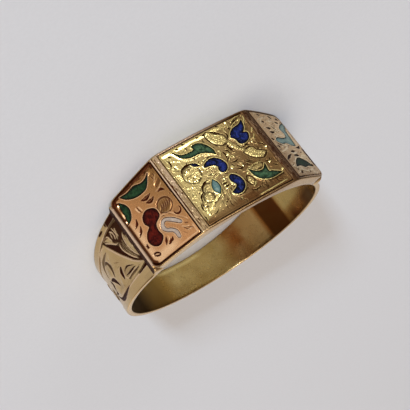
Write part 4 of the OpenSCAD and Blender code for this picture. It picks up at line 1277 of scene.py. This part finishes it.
def engrave_right(relief, border):
    """The right plaque's random strokes and rubbed spots, its cells and its cuts."""
    u, s = relief["u"], relief["s"]
    relief["patina"] = (0.42 - 0.12 * s - 0.1 * u).clip(0, 0.9)
    rng = np.random.default_rng(9)
    for _ in range(150):
        at = np.array([rng.uniform(-1.95, 2.1), rng.uniform(-3.1, 3.2)])
        way = rng.uniform(0.15, 0.5) * np.array([0.94, 0.34])
        bent = at + rng.uniform(-0.15, 0.15) * np.array([-0.34, 0.94])
        if rng.uniform() < 0.6:
            cut(relief, [at - way, bent, at + way], rng.uniform(0.06, 0.13), 0.02,
                grime=rng.uniform(0.15, 0.8))
        else:
            bead(relief, [at - way, bent, at + way], 0.09, 0.015, shine=rng.uniform(0.3, 0.8))
    for _ in range(50):
        at = np.array([rng.uniform(-2.0, 2.1), rng.uniform(-3.1, 3.2)])
        spot = np.exp(-((u - at[0]) ** 2 + (s - at[1]) ** 2) / rng.uniform(0.12, 0.35) ** 2)
        relief["rubbed_and_highlight"] = (relief["rubbed_and_highlight"] + rng.uniform(-0.3, 0.5) * spot).clip(0, 1)
    for rows in RIGHT_CELLS.values():
        cell(relief, rows)
    for stroke in (
            [(-1.35, 1.68), (-1.0, 1.62), (-0.65, 1.68)], [(-1.35, 1.22), (-0.9, 1.2), (-0.5, 1.24)],
            [(0.4, 3.0), (0.65, 2.85), (0.9, 2.7)], [(1.45, 2.75), (1.75, 2.72), (2.0, 2.65)],
            [(-0.4, -0.85), (0.0, -0.8), (0.45, -0.72)], [(-0.35, -1.2), (0.1, -1.22), (0.6, -1.18)],
            [(-2.0, -1.72), (-1.3, -1.35), (-0.6, -1.08)], [(-1.35, -3.05), (-1.1, -2.9), (-0.95, -2.75)],
            [(0.9, 2.35), (1.2, 2.3), (1.45, 2.35)], [(-1.3, 2.3), (-0.9, 2.35)],
            [(-1.2, 3.1), (-0.9, 3.05)], [(1.1, -0.35), (1.6, -0.35), (2.1, -0.1)],
            [(-1.75, -0.25), (-1.55, -0.4)], [(-1.9, 0.5), (-1.5, 0.45)], [(1.5, -2.1), (1.8, -2.3)],
            [(0.0, -2.9), (0.5, -2.85)]):
        cut(relief, stroke, 0.24, 0.07)
    for stroke in (
            [(-0.6, 1.75), (-0.3, 1.45), (0.2, 1.35), (0.6, 1.5)],
            [(-1.8, 2.0), (-1.2, 2.6), (-0.4, 2.8)], [(-0.3, 2.3), (0.3, 2.4), (0.8, 2.2)],
            [(-2.0, -0.9), (-1.2, -0.7), (-0.4, -0.45)], [(1.7, -0.6), (1.5, -1.2), (1.8, -1.8)],
            [(-1.9, -2.3), (-1.0, -2.7), (0.1, -2.85), (1.2, -2.6)]):
        bead(relief, stroke, 0.16, 0.03, shine=0.7)
    for stroke in (
            [(-0.34, 1.93), (0.09, 1.44)], [(2.2, 1.72), (2.15, 1.14), (2.05, 0.49)],
            [(-1.61, -0.06), (-1.48, -0.46)], [(-1.6, 0.54), (-1.4, 0.0), (-0.6, -0.24)]):
        cut(relief, stroke, 0.13, 0.03, grime=0.9)
    for stroke in (
            [(-0.57, 2.13), (-0.02, 1.74), (0.39, 1.1)],
            [(-0.7, 1.51), (-0.4, 1.12), (-0.1, 0.9), (0.4, 0.95)],
            [(1.82, 1.18), (1.74, 0.6), (1.72, 0.09)], [(-0.93, -0.1), (-0.17, -0.32)],
            [(-0.6, -0.95), (0.0, -1.02), (0.6, -0.9)], [(-0.3, -1.38), (0.4, -1.42), (1.0, -1.5)]):
        bead(relief, stroke, 0.14, 0.02, shine=0.95)
    darken(relief, 0.9 * ramp(u, 1.95, 2.07) * ramp(s, -0.2, -0.5) * ramp(s, -2.4, -2.1))


# The same sheet in paler, greyer tones.
pale_sheet = gold("15 carat rose gold sheet, paler", "#CCA26C", "#E4C28E", "#886638", "#321A0A",
                  "#EAD8B0", 0.26, 0.1)
right_plaque = sheet("right_plaque_gold", RIGHT, engrave_right, pale_sheet)
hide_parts("right_plaque")

# Enamel
# Opaque glass ground to powder, laid in the cells, fired and stoned flush. Each inlay is a
# lens of glass a little below the metal, with pits and streaks from the firing and a darker
# edge where the glass runs thin against the wall.
CELL_GAP = 0.015
ENAMEL_SINK = 0.015
ENAMEL_STEP = 0.13
SWIRL_MM = 0.4
STREAK_MM = 0.09


def inset(line, gap):
    """An anticlockwise outline moved in by a gap, with mitred corners."""
    ahead_of = np.roll(line, -1, 0) - line
    normal = np.stack([-ahead_of[:, 1], ahead_of[:, 0]], 1) / np.hypot(*ahead_of.T)[:, None]
    before = np.roll(normal, 1, 0)
    return line + gap * (before + normal) / (1 + (before * normal).sum(1))[:, None]


def glass(name, deep, light, streak, rim, roughness, gloss=0.07):
    """Fired enamel: two depths of one colour that swirl, fine streaks, and a dark edge."""
    made, tree = material(name)
    place = node(tree, "TexCoord").outputs["Object"]
    swirl = node(tree, "TexNoise", {"Vector": place, "Scale": 1 / (SWIRL_MM * MM), "Detail": 3,
                                    "Distortion": 1.2})
    spread = node(tree, "MapRange", {"Value": swirl.outputs["Fac"], "From Min": 0.4, "From Max": 0.6})
    tone = node(tree, "Mix", {"Factor": spread.outputs["Result"], "A": linear(deep),
                              "B": linear(light)}, data_type="RGBA")
    rubbed = node(tree, "TexNoise", {"Vector": place, "Scale": 1 / (STREAK_MM * MM), "Detail": 2})
    pale = node(tree, "MapRange", {"Value": rubbed.outputs["Fac"], "From Min": 0.55, "From Max": 0.8,
                                   "To Max": 0.6})
    worn = node(tree, "Mix", {"Factor": pale.outputs["Result"], "A": tone.outputs["Result"],
                              "B": linear(streak)}, data_type="RGBA")
    thin = node(tree, "Attribute", attribute_name="dirt_and_shade").outputs["Fac"]
    shade = node(tree, "MapRange", {"Value": thin, "To Max": 0.85})
    colour = node(tree, "Mix", {"Factor": shade.outputs["Result"], "A": worn.outputs["Result"],
                                "B": linear(rim)}, data_type="RGBA")
    pits = node(tree, "Bump", {"Height": rubbed.outputs["Fac"], "Strength": 0.3,
                               "Distance": 0.006 * MM})
    shader = node(tree, "BsdfPrincipled", {"Base Color": colour.outputs["Result"], "IOR": 1.5,
                                           "Specular IOR Level": gloss, "Roughness": roughness,
                                           "Normal": pits.outputs["Normal"]})
    node(tree, "OutputMaterial", {"Surface": shader.outputs["BSDF"]})
    return made


def inlay(name, side, rows, paint):
    """The glass in one cell, closed, clear of the cell's wall and floor."""
    line = inset(smooth(rows, 8), CELL_GAP)
    low, high = line.min(0), line.max(0)
    grid = np.stack(np.meshgrid(np.arange(low[0], high[0], ENAMEL_STEP),
                                np.arange(low[1], high[1], ENAMEL_STEP)), -1).reshape(-1, 2)
    far, _ = nearest(grid[:, 0], grid[:, 1], line, 0.5)
    fill = grid[within(grid[:, 0], grid[:, 1], line) & (far > 0.2)]
    rims = []
    for gap in (0.02, 0.08, 0.15):
        rim = inset(line, gap)
        clear, _ = nearest(rim[:, 0], rim[:, 1], line, 0.5)
        rims.append(rim[within(rim[:, 0], rim[:, 1], line) & (clear > 0.9 * gap)])
    flat = np.concatenate([line, *rims, fill])
    count = len(line)
    loop = [(k, (k + 1) % count) for k in range(count)]
    places, _, faces, origins, _, _ = delaunay_2d_cdt([Vector(p) for p in flat], loop,
                                                      [list(range(count))], 1, 1e-7)
    u = np.array([p[0] for p in places])
    s = np.array([p[1] for p in places])
    edge = np.array([min(origin, default=count) < count for origin in origins])
    near, _ = nearest(u, s, line, 0.5)
    dish = 0.012 * ramp(near, 0, 0.2)
    z = dome(u, facet_length(side)) - ENAMEL_SINK - dish + 0.006 * (~edge)
    order = {min(origin, default=-1): k for k, origin in enumerate(origins)}
    ring = [order[k] for k in range(count)]
    under = len(u) + np.arange(count)
    top = facet_place(side, u, s, z)
    base = facet_place(side, u[ring], s[ring], np.full(count, SEAT_GAP - CELL_T))
    wall = np.stack([ring, np.roll(ring, -1), np.roll(under, -1), under], -1)
    dark = np.concatenate([np.exp(-(near / 0.13) ** 1.5), np.ones(count)])
    made = solid(name + "_glass", np.concatenate([top, base]),
                 [list(face) for face in faces] + wall.tolist() + [under.tolist()], paint,
                 {"dirt_and_shade": dark})
    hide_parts(name)
    return made


# Rubbed glass shines little, with paler streaks and a dark rim where it runs thin. The centre's leaves are
# the most rubbed, the left ones are deeper, and the right one is a darker copy of the green, all but black
# as painted shade.
leaf_green = glass("green enamel, fired and rubbed", "#1A2A18", "#3A5236", "#6E7650", "#060C08", 0.3)
for name in ("centre_leaf_upper", "centre_leaf_lower"):
    inlay(name, CENTRE, CENTRE_CELLS[name], leaf_green)
green = glass("green enamel, fired", "#101E0E", "#223A20", "#40542E", "#030805", 0.25)
for name in ("left_leaf_long", "left_leaf_short"):
    inlay(name, LEFT, LEFT_CELLS[name], green)
shaded_green = glass("green enamel, darkened as painted shade", "#08140A", "#142A16", "#2C402A", "#040804", 0.35, 0.03)
inlay("right_leaf", RIGHT, RIGHT_CELLS["right_leaf"], shaded_green)

# Cobalt is so deep that it looks black at its rims and shows blue only where light enters it.
blue = glass("cobalt blue enamel, fired", "#050816", "#1A2458", "#505A8C", "#010104", 0.25)
for name in ("blue_petal_upper", "blue_petal_middle", "blue_petal_lower", "blue_petal_small"):
    inlay(name, CENTRE, CENTRE_CELLS[name], blue)

# Turquoise is opaque and chalky, and has greyed.
turquoise = glass("turquoise enamel, fired", "#546A62", "#788676", "#9EA492", "#24403C", 0.25)
inlay("turquoise_petal", CENTRE, CENTRE_CELLS["turquoise_petal"], turquoise)
inlay("right_scroll", RIGHT, RIGHT_CELLS["right_scroll"], turquoise)

# The red is thick and shows as a dark brownish ember.
red = glass("dark red enamel, fired", "#2A0402", "#4A0F06", "#60210D", "#0A0100", 0.25)
inlay("left_berries", LEFT, LEFT_CELLS["left_berries"], red)

# The white has taken up the warm tone of the gold and dirt round it.
white = glass("blush white enamel, fired", "#9A8068", "#B29A80", "#C6B098", "#7E6E62", 0.3)
inlay("left_bud", LEFT, LEFT_CELLS["left_bud"], white)
